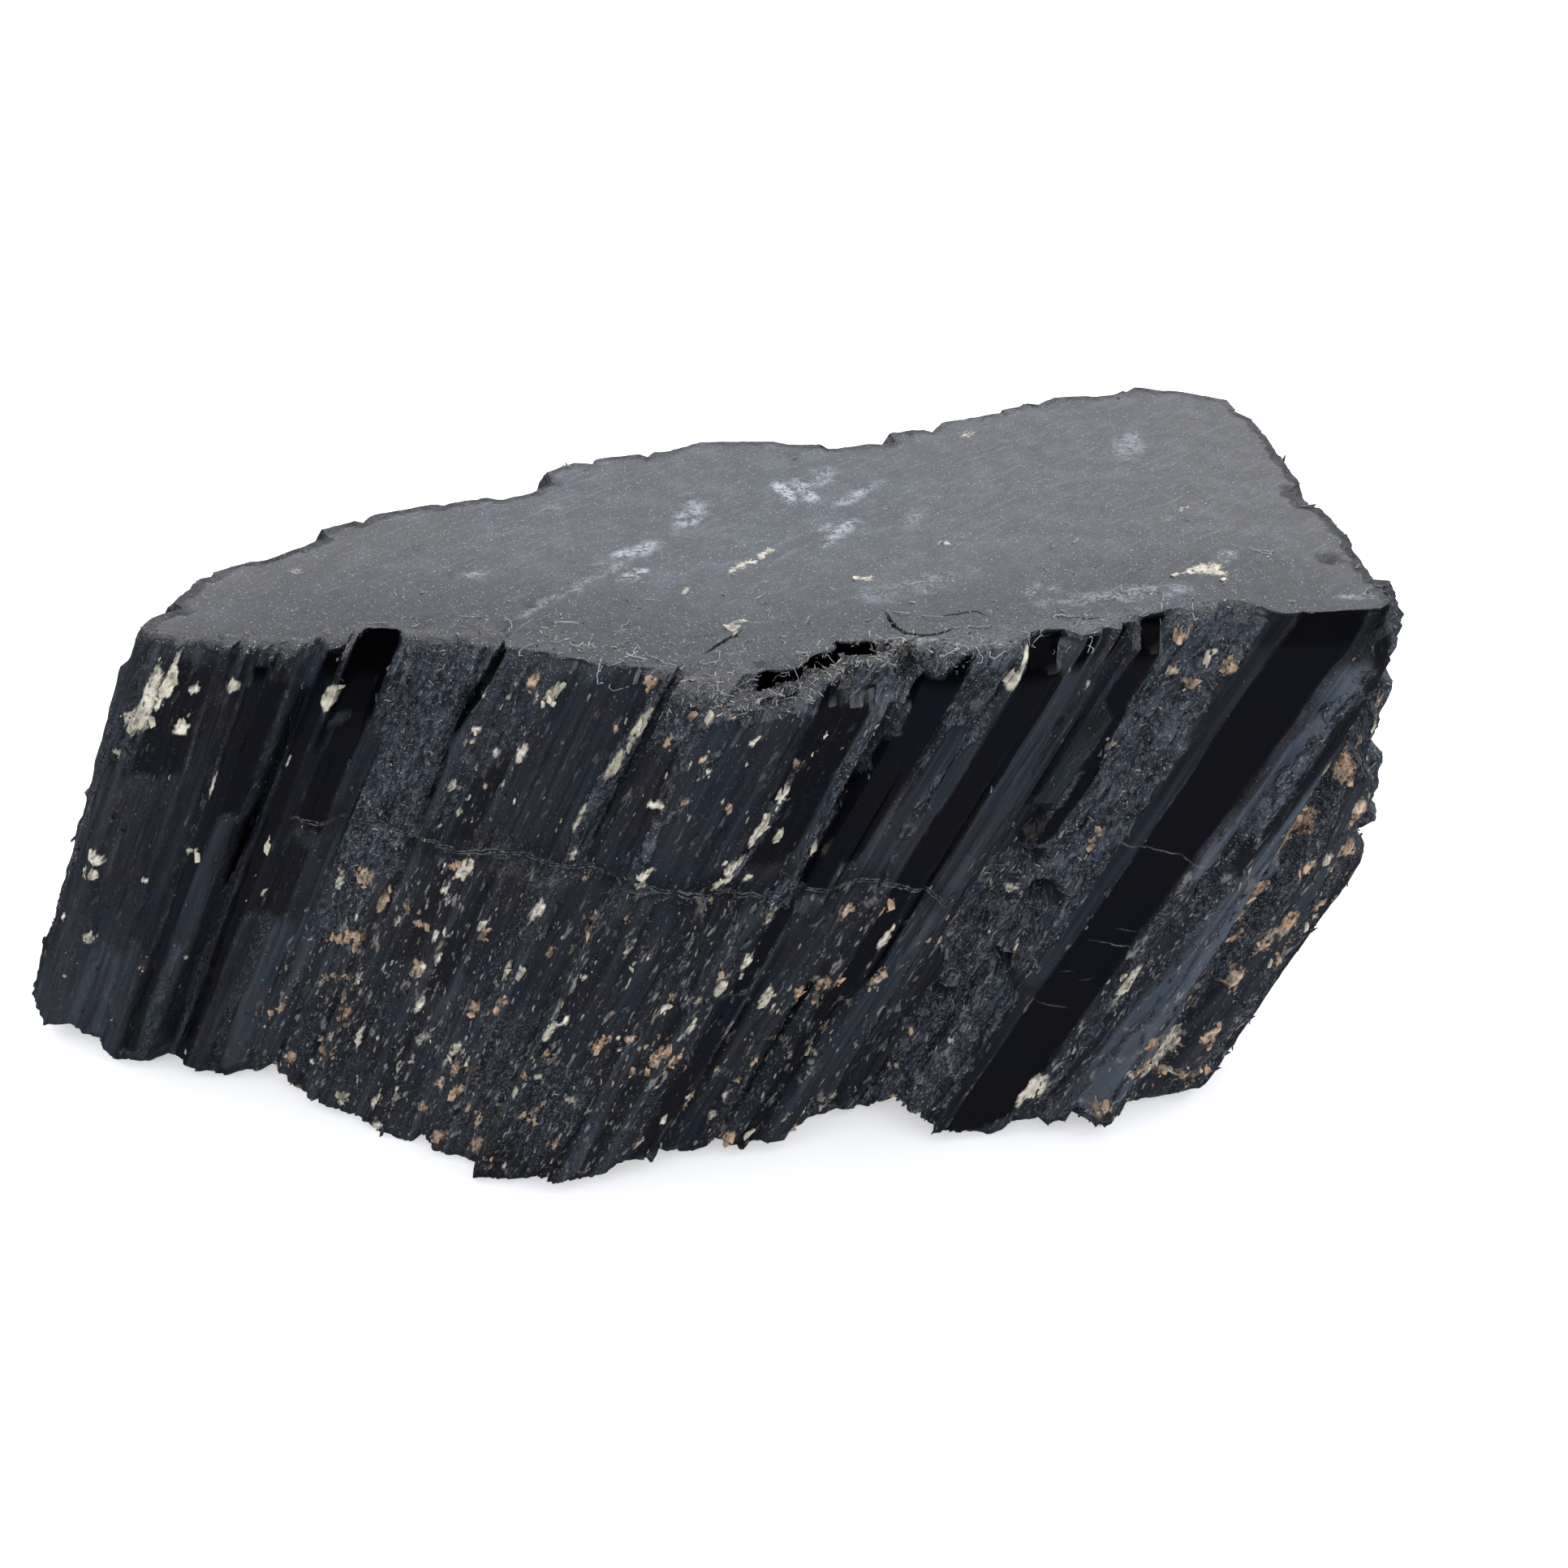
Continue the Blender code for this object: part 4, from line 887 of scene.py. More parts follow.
# Painted shade: the rim ends of glassy columns, the niche and the right corner are darkened in place of the
# sky that their slopes reflect.
column_end_painted_shade = soft(gloss - 0.55, 0.3) * soft(2.5 - down, 1.8)
column_end_painted_shade *= (0.42 + 0.17 * soft(64.0 - along, 2.0)) * (1 - niche)
niche_shade = niche * (0.42 + 0.18 * soft(2.6 - down, 1.6))
corner_painted_shade = 0.5 * near(72.9, 1.2, 0.9) * soft(4.0 - down, 4.0)
wall_shade = np.maximum(np.maximum(in_gap, niche_shade), np.maximum(column_end_painted_shade, corner_painted_shade))
clear_of_edges = (1 - in_gap) * soft(HEIGHT - down - 1.2, 1.0)
often_flecked = soft(share - 0.42, 0.2) * soft(along - 17.0, 4.0) + 0.12 + 0.16 * near(34.0, 12.0, 4.0)
mealy_bands = soft(crushed - 0.62, 0.4) * (1 - 0.6 * near(END_MIDDLE, 20.0, 3.0)) * clear_of_edges
mealy_ledge = 0.6 * on_ledge * (1 - niche) * (1 - in_gap)
ledge_needles = on_ledge * near(41.5, 6.0, 6.0) + 1.6 * on_ledge * near(44.3, 2.4, 1.5)
# Each mark on the wall, on the top and on the base.
marks = {
    "crushed": (crushed, 0, 0.5),
    "gloss": (gloss, 0, 0),
    "rusty": (rusty, 0, 0.15),
    "pale": (pale, pale_top, 0),
    "dust_and_sheen": (np.clip(dust_and_sheen, 0, 1) ** 2 * (1 - 0.6 * fractured * np.exp(-((fracture / 1.2) ** 2))), 0, 0.2),
    "rim": (soft(1.9 + layers((noise, 0.9, 0.8, 1.0, 661)) - down, 1.2) * (1 - niche), 0, 0),
    # Painted shade: the top darker towards its front edge.
    "front_painted_shade": (0, soft(7.7 - from_rim(top_points, 12.0, 66.0), 11.0), 0),
    "dust": (rim_dust, np.clip(smears + front_dust, 0, 1.2), 0),
    "shade": (wall_shade, top_shade, 0),
    "hairline": (hairline, 0, 0),
    "hairline_open": (hairline_open, 0, 0),
    "top": (np.maximum(np.where(down < 0.01, 0.3, 0.0), matt_slope), 1, 0),
    "cool": (0, np.exp(-(((top_points[:, 0] - 9.0) / 20.0) ** 2)), 0),
    "fracture": (fracture, 0, 0),
    "fractured": (fractured, 0, 0),
    "flecked": (np.clip(often_flecked, 0, 1) * (1 - soft(gloss - 0.6, 0.4)) * clear_of_edges, 0, 0),
    "meal": (np.maximum(mealy_bands, mealy_ledge), 0.4 * front_dust, 0),
    "needles": (np.clip(ledge_needles * (1 - in_gap) + 0.04 * soft(crushed - 0.6, 0.3), 0, 2),
                0.4 * np.exp(-from_front / 2.5), 0),
    "fluff": (near(40.0, 22.0, 6.0) * soft(1.3 - down, 0.8) * 0.8, fluff, 0),
}
vertices = np.vstack((wall.reshape(-1, 3), top_points, base_points))
across_top = np.broadcast_to((math.cos(TOP_GRAIN_TURN), math.sin(TOP_GRAIN_TURN), 0.0), top_points.shape)
vector_marks = {
    "lines": (wall_lines.reshape(-1, 3), cap_lines(top_points, 1), cap_lines(base_points, -1)),
    "growth": (growth.reshape(-1, 3), across_top, np.zeros_like(base_points) + (1.0, 0.0, 0.0)),
}

count = len(columns)
upper_left = (np.arange(len(depths) - 1)[:, None] * count + np.arange(count)).ravel()
upper_right = (np.arange(len(depths) - 1)[:, None] * count + (np.arange(count) + 1) % count).ravel()
faces = np.stack((upper_left, upper_left + count, upper_right + count, upper_right), -1).tolist()
first_top = wall.shape[0] * count
first_base = first_top + len(top_points)
last_row = first_top - count
faces += [[corner if corner < count else corner - count + first_top for corner in face] for face in top_faces]
faces += [[corner + last_row if corner < count else corner - count + first_base for corner in face][::-1]
          for face in base_faces]


def add_object(name, mesh):
    """Put a mesh into the scene as an object at the origin."""
    thing = bpy.data.objects.new(name, mesh)
    bpy.context.scene.collection.objects.link(thing)
    return thing


SHARP_EDGE = math.radians(38.0)
skin = bpy.data.meshes.new("crystal_body")
skin.from_pydata((vertices * MM).tolist(), [], faces)
part_shapes = (along.shape, len(top_points), len(base_points))
for name, parts in marks.items():
    whole = [np.broadcast_to(part, shape).ravel() for part, shape in zip(parts, part_shapes)]
    values = np.concatenate(whole).astype(np.float32)
    skin.attributes.new(name, "FLOAT", "POINT").data.foreach_set("value", values)
for name, parts in vector_marks.items():
    values = np.vstack(parts).astype(np.float32).ravel()
    skin.attributes.new(name, "FLOAT_VECTOR", "POINT").data.foreach_set("vector", values)
check = bmesh.new()
check.from_mesh(skin)
open_edges = sum(not edge.is_manifold for edge in check.edges)
triangle_count = sum(len(face.verts) - 2 for face in check.faces)
volume = check.calc_volume(signed=True) / MM**3 / 1000
check.free()
skin.shade_smooth()
skin.set_sharp_from_angle(angle=SHARP_EDGE)
crystal = add_object("crystal_body", skin)
print("skin:", triangle_count, "triangles,", open_edges, "open edges,", round(volume, 1), "cm3")

# %% [markdown]
# ## Colours and helpers
# Colours are picked as they look on a screen and turned into the linear values that
# light works with. One helper adds a node, sets it and joins it up, and another gives
# one of its outputs, so that a material reads as a list of what it does.

# %% Define the helpers
FACTOR, COLOUR_A, COLOUR_B, MIXED = 0, 6, 7, 2


def linear(code):
    """A screen colour such as #1a1b20 as linear red, green, blue and alpha."""
    parts = [int(code[i:i + 2], 16) / 255 for i in (1, 3, 5)]
    return tuple(c / 12.92 if c <= 0.04045 else ((c + 0.055) / 1.055) ** 2.4 for c in parts) + (1.0,)


def add(tree, kind, inputs=None, **settings):
    """Add a node; each input is a value or the socket that feeds it."""
    node = tree.nodes.new(kind)
    for name, value in settings.items():
        setattr(node, name, value)
    for key, value in (inputs or {}).items():
        if isinstance(value, bpy.types.NodeSocket):
            tree.links.new(value, node.inputs[key])
        else:
            node.inputs[key].default_value = value
    return node


def feed(tree, kind, inputs=None, output=0, **settings):
    """Add a node and give one of its outputs."""
    return add(tree, kind, inputs, **settings).outputs[output]


class Recipe:
    """A material under construction, with the few steps that all finishes share."""

    def __init__(self, name):
        self.material = bpy.data.materials.new(name)
        self.material.use_nodes = True
        self.tree = self.material.node_tree
        self.shader = self.tree.nodes["Principled BSDF"]
        self.place = feed(self.tree, "ShaderNodeTexCoord", output="Object")

    def mark(self, name, output="Fac"):
        return feed(self.tree, "ShaderNodeAttribute", output=output, attribute_name=name)

    def pattern(self, vector, scale, detail, rough):
        inputs = {"Vector": vector, "Scale": scale, "Detail": detail, "Roughness": rough}
        return feed(self.tree, "ShaderNodeTexNoise", inputs, "Fac")

    def grains(self, size_mm, detail=2.0, rough=0.6):
        return self.pattern(self.place, 1 / (size_mm * MM), detail, rough)

    def drawn_out(self, vector, size, detail=2.0, rough=0.6):
        inputs = {0: vector, 1: tuple(1 / side for side in size)}
        stretched = feed(self.tree, "ShaderNodeVectorMath", inputs, operation="MULTIPLY")
        return self.pattern(stretched, 1.0, detail, rough)

    def ramp(self, value, low, high, first=0.0, last=1.0):
        inputs = {"Value": value, "From Min": low, "From Max": high, "To Min": first, "To Max": last}
        return feed(self.tree, "ShaderNodeMapRange", inputs, "Result")

    def maths(self, operation, one, two, clamp=True):
        return feed(self.tree, "ShaderNodeMath", {0: one, 1: two}, operation=operation, use_clamp=clamp)

    def times(self, one, two, clamp=True):
        return self.maths("MULTIPLY", one, two, clamp)

    def plus(self, one, two, clamp=False):
        return self.maths("ADD", one, two, clamp)

    def mix(self, amount, one, two):
        one, two = (linear(colour) if isinstance(colour, str) else colour for colour in (one, two))
        inputs = {FACTOR: amount, COLOUR_A: one, COLOUR_B: two}
        return feed(self.tree, "ShaderNodeMix", inputs, MIXED, data_type="RGBA")

    def blend(self, amount, one, two):
        return feed(self.tree, "ShaderNodeMix", {0: amount, 2: one, 3: two})

    def bump(self, height, strength, depth_mm, below=None):
        inputs = {"Height": height, "Strength": strength, "Distance": depth_mm * MM}
        if below:
            inputs["Normal"] = below
        return feed(self.tree, "ShaderNodeBump", inputs, "Normal")

    def join(self, **sockets):
        for name, value in sockets.items():
            self.tree.links.new(value, self.shader.inputs[name.replace("_", " ")])


print("linear grey of #808080:", round(linear("#808080")[0], 3))

# %% [markdown]
# ## Black tourmaline
# Schorl is glassy and almost black, with a refractive index near 1.63. Its faces
# carry lines as fine as a hair, which break each reflection into threads along the
# column. Crushed schorl scatters light and looks grey. The flat broken top is finely
# pitted all over, which makes it matt and greyer still. So one mineral needs three
# finishes, mixed by the marks on the skin.

# %% Make the tourmaline
SCHORL_INDEX = 1.63


def make_tourmaline():
    """Near black with glassy lined faces, grey meal and a matt top."""
    r = Recipe("black_tourmaline_as_grown")
    lines = r.mark("lines", "Vector")
    hair = r.drawn_out(lines, (0.24, 0.24, 9.0), 1.0)
    threads = r.drawn_out(lines, (0.7, 0.7, 18.0), 2.0)
    flakes = r.drawn_out(lines, (0.4, 0.4, 1.5), 2.0)
    fine = r.drawn_out(lines, (0.24, 0.24, 0.5), 2.0)
    glint_and_speck_noise = r.grains(0.11, 1.0)
    cloud = r.grains(4.0, 3.0, 0.55)
    blotch = r.grains(0.9, 4.0, 0.6)
    top = r.mark("top")
    dust = r.mark("dust")
    flecked = r.mark("flecked")

    # Edges of the zones, broken up by the grain.
    normal = feed(r.tree, "ShaderNodeTexCoord", output="Normal")
    upwards = feed(r.tree, "ShaderNodeSeparateXYZ", {0: normal}, "Z")
    ledge = r.times(r.ramp(upwards, 0.15, 0.7), r.mark("rim"))
    flakes = r.blend(ledge, flakes, r.grains(0.5, 3.0, 0.7))
    fine = r.blend(ledge, fine, r.grains(0.22, 2.0, 0.7))
    meal = r.ramp(r.plus(r.mark("crushed"), r.ramp(fine, 0.3, 0.7, 0.0, 0.35), True), 0.5, 0.95)
    glass = r.ramp(r.plus(r.mark("gloss"), r.ramp(fine, 0.3, 0.7, 0.0, 0.1), True), 0.2, 0.9)
    meal = r.maths("MAXIMUM", meal, r.times(ledge, r.ramp(glass, 0.6, 0.9, 1.0, 0.0)))
    rusty = r.plus(r.mark("rusty"), r.ramp(fine, 0.3, 0.7, -0.28, 0.28))
    halo = r.ramp(rusty, 0.28, 0.75)
    rust = r.ramp(rusty, 0.45, 0.95)
    pale = r.ramp(r.plus(r.mark("pale"), r.ramp(fine, 0.3, 0.7, -0.25, 0.25)), 0.42, 0.85)

    # Bare crystal: black to slate grey, from the dust on it together with a painted sheen, in threads along
    # the columns.
    grey = r.times(r.mark("dust_and_sheen"), r.ramp(threads, 0.32, 0.68, 0.55, 1.6), False)
    grey = r.times(grey, r.ramp(hair, 0.32, 0.68, 0.72, 1.35))
    clean = r.mix(r.ramp(cloud, 0.35, 0.65), "#0c090e", "#040914")
    slate = r.mix(r.ramp(cloud, 0.40, 0.60), "#464a54", "#3f4b58")
    black = r.mix(grey, clean, slate)
    grey_meal = r.mix(r.ramp(flakes, 0.35, 0.65), "#0c1119", "#343c48")
    grey_meal = r.mix(r.ramp(fine, 0.50, 0.72, 0.0, 0.6), grey_meal, "#565e6a")
    # Painted shade: the ledge that faces up at the rim is darkened.
    grey_meal = r.mix(r.times(ledge, 0.92), grey_meal, "#0b0d11")
    # Painted glints on the meal.
    grey_meal = r.mix(r.ramp(glint_and_speck_noise, 0.66, 0.74), grey_meal, "#b0b4bc")
    colour = r.mix(r.times(meal, 0.9), black, grey_meal)
    # Painted glints: small pale specks off the glassy faces.
    specks_and_glints = r.times(r.ramp(glint_and_speck_noise, 0.69, 0.77), r.ramp(glass, 0.3, 0.8, 0.7, 0.0))
    colour = r.mix(specks_and_glints, colour, "#8b8d92")
    colour = r.mix(r.times(r.times(dust, 0.6), r.ramp(fine, 0.4, 0.65)), colour, "#6e7177")

    # Matt broken top: mottled grit with faint streaks one way, painted shade towards the front edge and
    # painted glints, smeared with pale dust.
    turned = feed(r.tree, "ShaderNodeMapping", {"Vector": r.place, "Rotation": (0, 0, -TOP_GRAIN_TURN)})
    streaks = r.drawn_out(turned, (2.4 * MM, 0.35 * MM, 0.5 * MM), 3.0, 0.65)
    grit = r.grains(0.28, 3.0, 0.7)
    mottled = r.grains(2.2, 5.0, 0.65)
    tint = r.times(r.mark("cool"), r.ramp(cloud, 0.35, 0.60, 0.5, 1.0))
    matt = r.mix(tint, "#373433", "#353c41")
    matt = r.mix(r.ramp(mottled, 0.45, 0.65, 0.0, 0.6), matt, "#25272c")
    matt = r.mix(r.ramp(mottled, 0.50, 0.36, 0.0, 0.35), matt, "#52565c")
    matt = r.mix(r.ramp(streaks, 0.54, 0.76, 0.0, 0.5), matt, "#686c73")
    matt = r.mix(r.ramp(grit, 0.52, 0.74, 0.0, 0.7), matt, "#6b6f76")
    # Painted shade: the top darker towards its front edge.
    matt = r.mix(r.times(r.mark("front_painted_shade"), r.ramp(blotch, 0.35, 0.65, 0.65, 1.0)), matt, "#181a20")
    # Painted glints on the top.
    matt = r.mix(r.ramp(glint_and_speck_noise, 0.68, 0.75), matt, "#b4b8bf")
    smear = r.times(dust, r.ramp(r.plus(blotch, r.ramp(fine, 0.3, 0.7, -0.2, 0.2)), 0.40, 0.60))
    matt = r.mix(r.times(smear, 0.85), matt, "#abb1ba")
    colour = r.mix(top, colour, matt)

    # Fractures: painted shade as a dark line between pale crumbled edges. Hairlines on the glass are only
    # pale.
    crumbs = r.ramp(blotch, 0.35, 0.65, -0.08, 0.08)
    gap = r.maths("ABSOLUTE", r.plus(r.mark("fracture"), crumbs), 0.0, False)
    edge = r.times(r.ramp(gap, 0.08, 0.20, 0.8, 0.0), r.ramp(fine, 0.40, 0.60, 0.15, 1.0))
    colour = r.mix(r.times(edge, r.mark("fractured")), colour, "#6f7177")
    colour = r.mix(r.times(r.ramp(gap, 0.03, 0.09, 1.0, 0.0), r.mark("fractured")), colour, "#060608")
    line = r.maths("ABSOLUTE", r.plus(r.mark("hairline"), crumbs), 0.0, False)
    line = r.times(r.ramp(line, 0.01, 0.07, 1.0, 0.0), r.ramp(blotch, 0.40, 0.60, 0.10, 0.42))
    colour = r.mix(r.times(line, r.mark("hairline_open")), colour, "#84868e")

    # Small stretched flecks, then the larger rusty and pale spots.
    fleck = r.times(r.ramp(flakes, 0.61, 0.69), flecked)
    fleck_colour = r.mix(r.ramp(blotch, 0.38, 0.50), "#7b6553", "#949690")
    colour = r.mix(r.times(fleck, 0.55), colour, fleck_colour)
    colour = r.mix(r.times(halo, 0.75), colour, "#2e2622")
    patchy = r.grains(2.6, 1.0)
    orange = r.mix(r.ramp(patchy, 0.42, 0.58), "#9a7350", "#968873")
    orange = r.mix(r.ramp(fine, 0.30, 0.62, 0.8, 0.0), orange, "#3a2f24")
    orange = r.mix(r.ramp(blotch, 0.48, 0.62, 0.0, 0.8), orange, "#c7a88c")
    # Painted glints on the rust.
    orange = r.mix(r.ramp(glint_and_speck_noise, 0.60, 0.74), orange, "#e0ccb6")
    colour = r.mix(rust, colour, orange)
    cream = r.mix(r.ramp(fine, 0.3, 0.6), "#6a675b", "#b9b1a0")
    cream = r.mix(r.ramp(blotch, 0.40, 0.60), cream, "#d3ccbb")
    cream = r.mix(r.ramp(cloud, 0.48, 0.62, 0.0, 0.7), cream, "#8f8b74")
    colour = r.mix(pale, colour, cream)

    # Painted shade: gaps, cracks, pits, the niche and the broken column ends are painted black with less
    # specular, because light that enters doesn't come back.
    shade = r.ramp(r.mark("shade"), 0.25, 0.60)
    colour = r.mix(shade, colour, "#030304")
    r.join(Base_Color=colour)
    r.join(Specular_IOR_Level=r.ramp(shade, 0.0, 1.0, 0.5, 0.0))

    rough = r.blend(meal, r.ramp(hair, 0.3, 0.7, 0.32, 0.50), r.ramp(fine, 0.35, 0.65, 0.30, 0.60))
    rough = r.blend(glass, rough, r.ramp(hair, 0.3, 0.7, 0.16, 0.26))
    rough = r.blend(top, rough, r.ramp(grit, 0.35, 0.65, 0.42, 0.72))
    rough = r.blend(r.maths("MAXIMUM", rust, pale), rough, 0.70)
    r.join(Roughness=rough)
    r.shader.inputs["IOR"].default_value = SCHORL_INDEX

    lined = r.times(hair, r.ramp(glass, 0.2, 0.9, 1.0, 0.06))
    normal = r.bump(lined, 0.6, 0.05)
    normal = r.bump(r.times(threads, r.ramp(glass, 0.0, 0.9, 1.0, 0.2)), 0.6, 0.20, normal)
    crumpled = r.plus(fine, r.times(flakes, 1.6, False))
    normal = r.bump(r.times(crumpled, meal, False), 0.9, 0.17, normal)
    normal = r.bump(r.times(r.plus(grit, streaks), top, False), 0.8, 0.07, normal)
    r.join(Normal=normal)
    return r.material


tourmaline = make_tourmaline()
skin.materials.append(tourmaline)
print("tourmaline nodes:", len(tourmaline.node_tree.nodes))

# %% [markdown]
# ## Loose grain, rust, feldspar and lint
# Grains stand proud of the skin and catch the light one by one. The grey meal has the
# glassy lustre of schorl. Iron stain is an earthy film with no gloss at all. Feldspar
# breaks along flat cleavages with a pearly gleam, so its roughness is lower. Lint is
# cotton: white, thin and dull.

# %% Make the grain materials


def grain_material(name, dark, light, roughness, index, size_mm=0.5):
    """A two-colour grain whose colour changes from grain to grain."""
    r = Recipe(name)
    r.join(Base_Color=r.mix(r.ramp(r.grains(size_mm, 3.0), 0.35, 0.65), dark, light))
    r.shader.inputs["Roughness"].default_value = roughness
    r.shader.inputs["IOR"].default_value = index
    return r.material


schorl_meal = grain_material("crushed_schorl_fresh_broken", "#0e0f13", "#44474e", 0.20, SCHORL_INDEX, 0.25)
iron_film = grain_material("iron_stained_feldspar_weathered", "#4d4034", "#b89a7e", 0.7, 1.53, 0.8)
feldspar = grain_material("feldspar_cleaved", "#5f5c4f", "#cfc6b0", 0.45, 1.53, 0.9)
mica = grain_material("mica_flakes_earthy", "#3f3b36", "#918c82", 0.4, 1.58, 0.7)
pale_needles = grain_material("schorl_needles_powdered", "#3c3d40", "#a5a093", 0.5, SCHORL_INDEX, 0.4)
cotton = grain_material("cotton_lint_loose", "#7e8187", "#b4b7bd", 0.9, 1.55, 2.0)
print("grain materials:", schorl_meal.name, iron_film.name, feldspar.name, mica.name, cotton.name)

# %% [markdown]
# ## Strewing pieces over the skin
# Thousands of grains can't be placed by hand. A node tree drops points on the skin,
# densest where a mark is high, picks one of a few shapes for each point, turns it
# along the growth lines and gives it a size of its own. The same tree serves grains
# and lint: only the shapes that it picks from differ.

# %% Define the strewing tree
CHIP_KINDS = 5
CHIP_ROUGHNESS = 0.34
FIBRE_KINDS = 6
FIBRE_RADIUS = 0.028
FIBRE_ROUGHNESS = 0.05
FIBRE_SEED = 50
LEAN = 0.5
RARITY = 2.5
PER_SQUARE_MM = 1.0 / MM**2
TREE_INPUTS = (
    ("Geometry", "Geometry"), ("Mark", "String"), ("Density", "Float"), ("Seed", "Int"),
    ("Smallest", "Float"), ("Largest", "Float"), ("Length", "Float"), ("Flatness", "Float"),
    ("Spin", "Float"), ("Material", "Material"),
)


def uneven(tree, geometry, amount, seed):
    """Move every point of a shape at random."""
    span = {0: (-amount,) * 3, 1: (amount,) * 3, 8: seed}
    reach = feed(tree, "FunctionNodeRandomValue", span, data_type="FLOAT_VECTOR")
    return feed(tree, "GeometryNodeSetPosition", {"Geometry": geometry, "Offset": reach})


def chip_shapes(tree):
    """Angular chips: boxes with moved corners and their hull."""
    for kind in range(CHIP_KINDS):
        box = feed(tree, "GeometryNodeMeshCube", {"Size": (1.0, 1.0, 1.0)})
        yield feed(tree, "GeometryNodeConvexHull", {"Geometry": uneven(tree, box, CHIP_ROUGHNESS, kind)})


def fibre_shapes(tree):
    """Curled threads: bent curves with a three-sided section."""
    section = feed(tree, "GeometryNodeCurvePrimitiveCircle", {"Resolution": 3, "Radius": FIBRE_RADIUS})
    for kind in range(FIBRE_KINDS):
        curl = (0.9 * math.cos(kind * 2.1), 0.7 * math.sin(kind * 2.1), 0.35)
        course = {"Resolution": 9, "Start": (-0.5, 0.0, 0.02), "Middle": curl, "End": (0.4, 0.3, 0.05)}
        smooth = feed(tree, "GeometryNodeCurveQuadraticBezier", course)
        bend = uneven(tree, smooth, FIBRE_ROUGHNESS, FIBRE_SEED + kind)
        yield feed(tree, "GeometryNodeCurveToMesh", {0: bend, 1: section, "Fill Caps": True})


def strewing_tree(name, make_shapes):
    """A tree that strews the shapes over a surface by one of its marks."""
    tree = bpy.data.node_groups.new(name, "GeometryNodeTree")
    for label, kind in TREE_INPUTS:
        tree.interface.new_socket(label, in_out="INPUT", socket_type="NodeSocket" + kind)
    tree.interface.new_socket("Geometry", in_out="OUTPUT", socket_type="NodeSocketGeometry")
    given = add(tree, "NodeGroupInput").outputs

    def maths(operation, one, two):
        return feed(tree, "ShaderNodeMath", {0: one, 1: two}, operation=operation)

    def by_chance(low, high, seed):
        return feed(tree, "FunctionNodeRandomValue", {2: low, 3: high, 8: seed}, 1)

    # Points on the skin, densest where the mark is high.
    mark = feed(tree, "GeometryNodeInputNamedAttribute", {"Name": given["Mark"]}, data_type="FLOAT")
    density = maths("MULTIPLY", mark, given["Density"])
    scatter = {"Mesh": given["Geometry"], "Density": density, "Seed": given["Seed"]}
    points = add(tree, "GeometryNodeDistributePointsOnFaces", scatter)

    # Each piece lies along the growth lines, turned and tilted a little.
    growth = feed(tree, "GeometryNodeInputNamedAttribute", {"Name": "growth"}, data_type="FLOAT_VECTOR")
    upright = {"Rotation": points.outputs["Rotation"], "Vector": growth}
    along_growth = feed(tree, "FunctionNodeAlignRotationToVector", upright, axis="X", pivot_axis="Z")
    spin = by_chance(maths("MULTIPLY", given["Spin"], -1.0), given["Spin"], given["Seed"])
    lean = by_chance(-LEAN, LEAN, 7)
    turn = feed(tree, "ShaderNodeCombineXYZ", {"X": lean, "Y": lean, "Z": spin})
    turns = {"Rotation": along_growth, "Rotate By": turn}
    rotation = feed(tree, "FunctionNodeRotateRotation", turns, rotation_space="LOCAL")

    # Large pieces are rare.
    rare = maths("POWER", by_chance(0.0, 1.0, 11), RARITY)
    sizes = {"Value": rare, "To Min": given["Smallest"], "To Max": given["Largest"]}
    shape = feed(tree, "ShaderNodeCombineXYZ", {"X": given["Length"], "Y": 1.0, "Z": given["Flatness"]})
    scale = {0: shape, "Scale": feed(tree, "ShaderNodeMapRange", sizes)}
    scale = feed(tree, "ShaderNodeVectorMath", scale, operation="SCALE")

    shapes = add(tree, "GeometryNodeGeometryToInstance")
    for geometry in make_shapes(tree):
        tree.links.new(geometry, shapes.inputs[0])
    pieces = {"Points": points.outputs["Points"], "Instance": shapes.outputs[0], "Pick Instance": True,
              "Rotation": rotation, "Scale": scale}
    strewn = feed(tree, "GeometryNodeInstanceOnPoints", pieces)
    real = feed(tree, "GeometryNodeRealizeInstances", {"Geometry": strewn})
    painted = feed(tree, "GeometryNodeSetMaterial", {"Geometry": real, "Material": given["Material"]})
    add(tree, "NodeGroupOutput", {"Geometry": painted})
    return tree


def strew(name, tree, material, mark, per_mm2, smallest, largest, length, flatness, spin, seed):
    """Strew pieces over the crystal and keep them as one mesh."""
    carrier = add_object(name + "_carrier", skin)
    modifier = carrier.modifiers.new("strew", "NODES")
    modifier.node_group = tree
    density = per_mm2 * PER_SQUARE_MM
    values = (mark, density, seed, smallest * MM, largest * MM, length, flatness, spin, material)
    values = dict(zip([label for label, _ in TREE_INPUTS[1:]], values))
    for item in tree.interface.items_tree:
        if item.in_out == "INPUT" and item.name in values:
            modifier[item.identifier] = values[item.name]
    mesh = bpy.data.meshes.new_from_object(carrier.evaluated_get(bpy.context.evaluated_depsgraph_get()))
    mesh.name = name
    bpy.data.objects.remove(carrier)
    for extra in (*marks, *vector_marks):
        if extra in mesh.attributes:
            mesh.attributes.remove(mesh.attributes[extra])
    print(name + ":", len(mesh.polygons), "faces")
    return add_object(name, mesh)


chip_tree = strewing_tree("strew_chips", chip_shapes)
fibre_tree = strewing_tree("strew_fibres", fibre_shapes)

# %% [markdown]
# ## Grains on the specimen
# Meal fills the crushed bands, earthy grains sit in the rusty spots, and cleaved
# feldspar in the pale ones. Needles are slivers of schorl that lie along the columns.
# Lint from a cloth clings to the front rim.

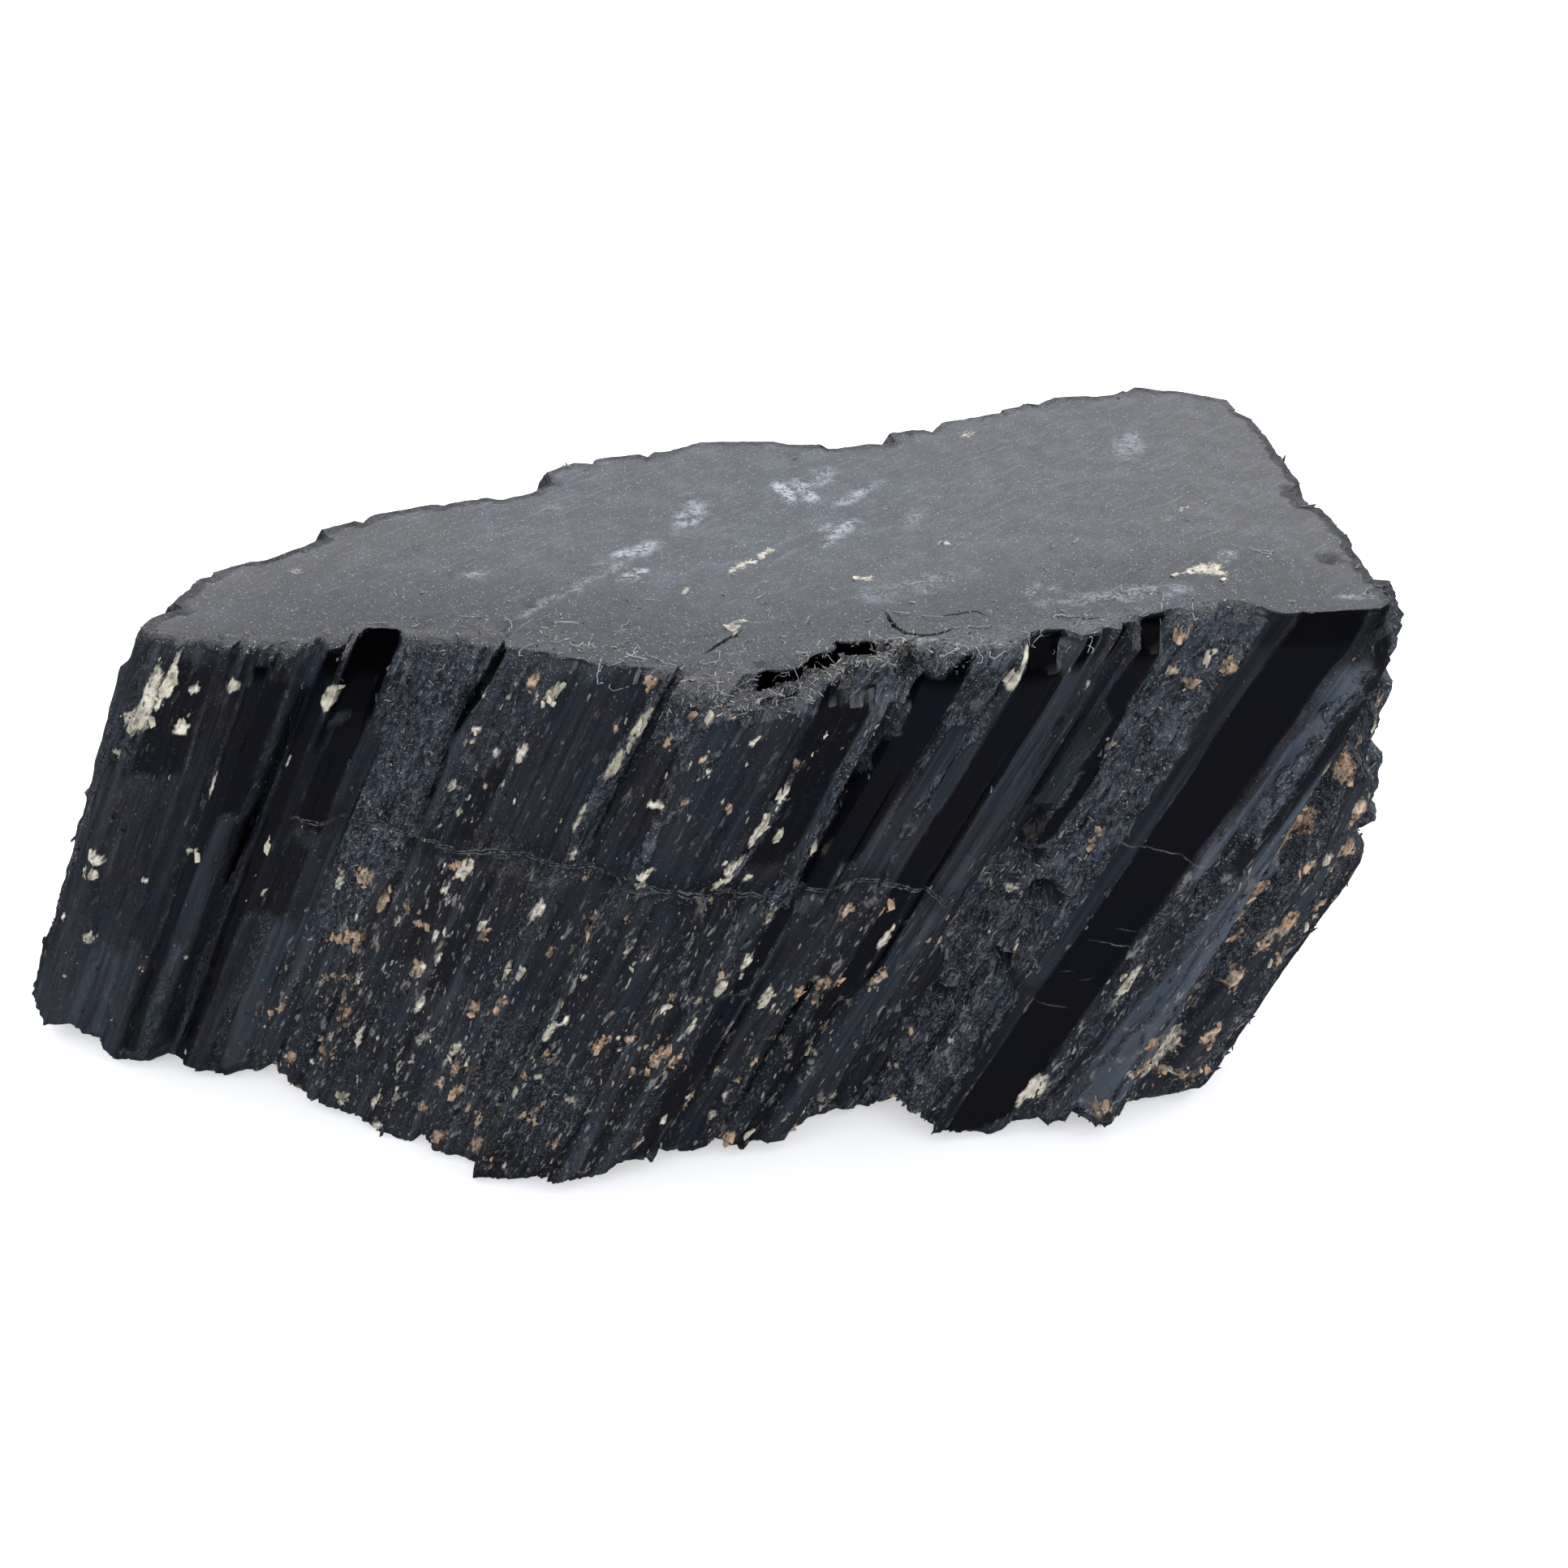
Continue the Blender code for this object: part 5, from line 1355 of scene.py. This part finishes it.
# %% Strew the grains
HALF_TURN = math.pi
STREWN_PIECES = (
    # name, tree, material, slot, mark, per mm2, smallest, largest, length, flatness, spin, seed
    ("crushed_meal", chip_tree, schorl_meal, "schorl", "meal", 2.2, 0.05, 0.20, 1.6, 0.45, 0.7, 1),
    ("schorl_slivers", chip_tree, schorl_meal, "schorl", "flecked", 0.9, 0.05, 0.20, 5.0, 0.6, 0.12, 2),
    ("mica_slivers", chip_tree, mica, "feldspar", "flecked", 0.9, 0.04, 0.12, 4.5, 0.5, 0.15, 8),
    ("pale_needles", chip_tree, pale_needles, "schorl", "needles", 9.0, 0.035, 0.07, 7.0, 0.8, HALF_TURN, 6),
    ("rusty_grains", chip_tree, iron_film, "iron_stain", "rusty", 5.0, 0.07, 0.36, 1.9, 0.40, 0.6, 3),
    ("feldspar_flakes", chip_tree, feldspar, "feldspar", "pale", 2.0, 0.07, 0.34, 3.0, 0.30, 0.25, 4),
    ("lint", fibre_tree, cotton, "lint", "fluff", 0.9, 0.3, 1.5, 1.0, 0.35, HALF_TURN, 5),
)
pieces = [(crystal, "schorl")]
for name, tree, material, slot, *numbers in STREWN_PIECES:
    pieces.append((strew(name, tree, material, *numbers), slot))

# %% [markdown]
# ## Floor and light
# The specimen lies on a white table under soft light from above and behind, so the
# top shines grey and the near side stays dark. The floor is left out of mirror
# reflections, because the black faces of the specimen don't reflect it either.

# %% Set the studio
FLOOR_HALF = 3.0
KEY_SIZE = 0.35
KEY_PLACE = Vector((0.25, 0.35, 0.9))
KEY_POWER = 2.5
# The room grows brighter from just below the horizon up to that height on the unit sphere.
SKY_BOTTOM, SKY_TOP = -0.02, 0.35
SKY_FAINTEST, SKY_STRENGTH = 0.05, 1.55
SKY_COLOUR = "#f6f8ff"
TABLE_COLOUR = "#f4f4f4"
TABLE_ROUGHNESS = 0.9
TABLE_GLOW = 0.4

floor_mesh = bpy.data.meshes.new("table_top")
floor_corners = [(x * FLOOR_HALF, y * FLOOR_HALF, 0.0) for x, y in ((-1, -1), (1, -1), (1, 1), (-1, 1))]
floor_mesh.from_pydata(floor_corners, [], [(0, 1, 2, 3)])
lacquer = Recipe("white_table_matt_lacquer")
lacquer.shader.inputs["Base Color"].default_value = linear(TABLE_COLOUR)
lacquer.shader.inputs["Roughness"].default_value = TABLE_ROUGHNESS
lacquer.shader.inputs["Emission Color"].default_value = linear("#ffffff")
lacquer.shader.inputs["Emission Strength"].default_value = TABLE_GLOW
floor_mesh.materials.append(lacquer.material)
table = add_object("table_top", floor_mesh)
table.visible_glossy = False

key = bpy.data.lights.new("softbox", "AREA")
key.shape = "SQUARE"
key.size = KEY_SIZE
key.energy = KEY_POWER
key_object = add_object("softbox", key)
key_object.location = KEY_PLACE
key_object.rotation_euler = (-KEY_PLACE).to_track_quat("-Z", "Y").to_euler()

world = bpy.data.worlds.new("soft_room")
bpy.context.scene.world = world
world.use_nodes = True
sky = world.node_tree
sky.nodes.clear()
direction = feed(sky, "ShaderNodeTexCoord", output="Generated")
upwards = feed(sky, "ShaderNodeSeparateXYZ", {"Vector": direction}, "Z")
by_height = {"From Min": SKY_BOTTOM, "From Max": SKY_TOP, "To Min": SKY_FAINTEST, "To Max": SKY_STRENGTH}
by_height["Value"] = upwards
glow = feed(sky, "ShaderNodeMapRange", by_height, "Result", interpolation_type="SMOOTHSTEP")
room = feed(sky, "ShaderNodeBackground", {"Color": linear(SKY_COLOUR), "Strength": glow})
add(sky, "ShaderNodeOutputWorld", {"Surface": room})
bpy.context.scene.view_settings.view_transform = "Standard"
print("light:", key.name, KEY_POWER, "W")

# %% [markdown]
# ## Hand over the pieces
# Every piece belongs to the one body and stands for the one solid.

# %% Tell the frame
for piece, slot in pieces:
    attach(piece, BODY)
    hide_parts(NODE)
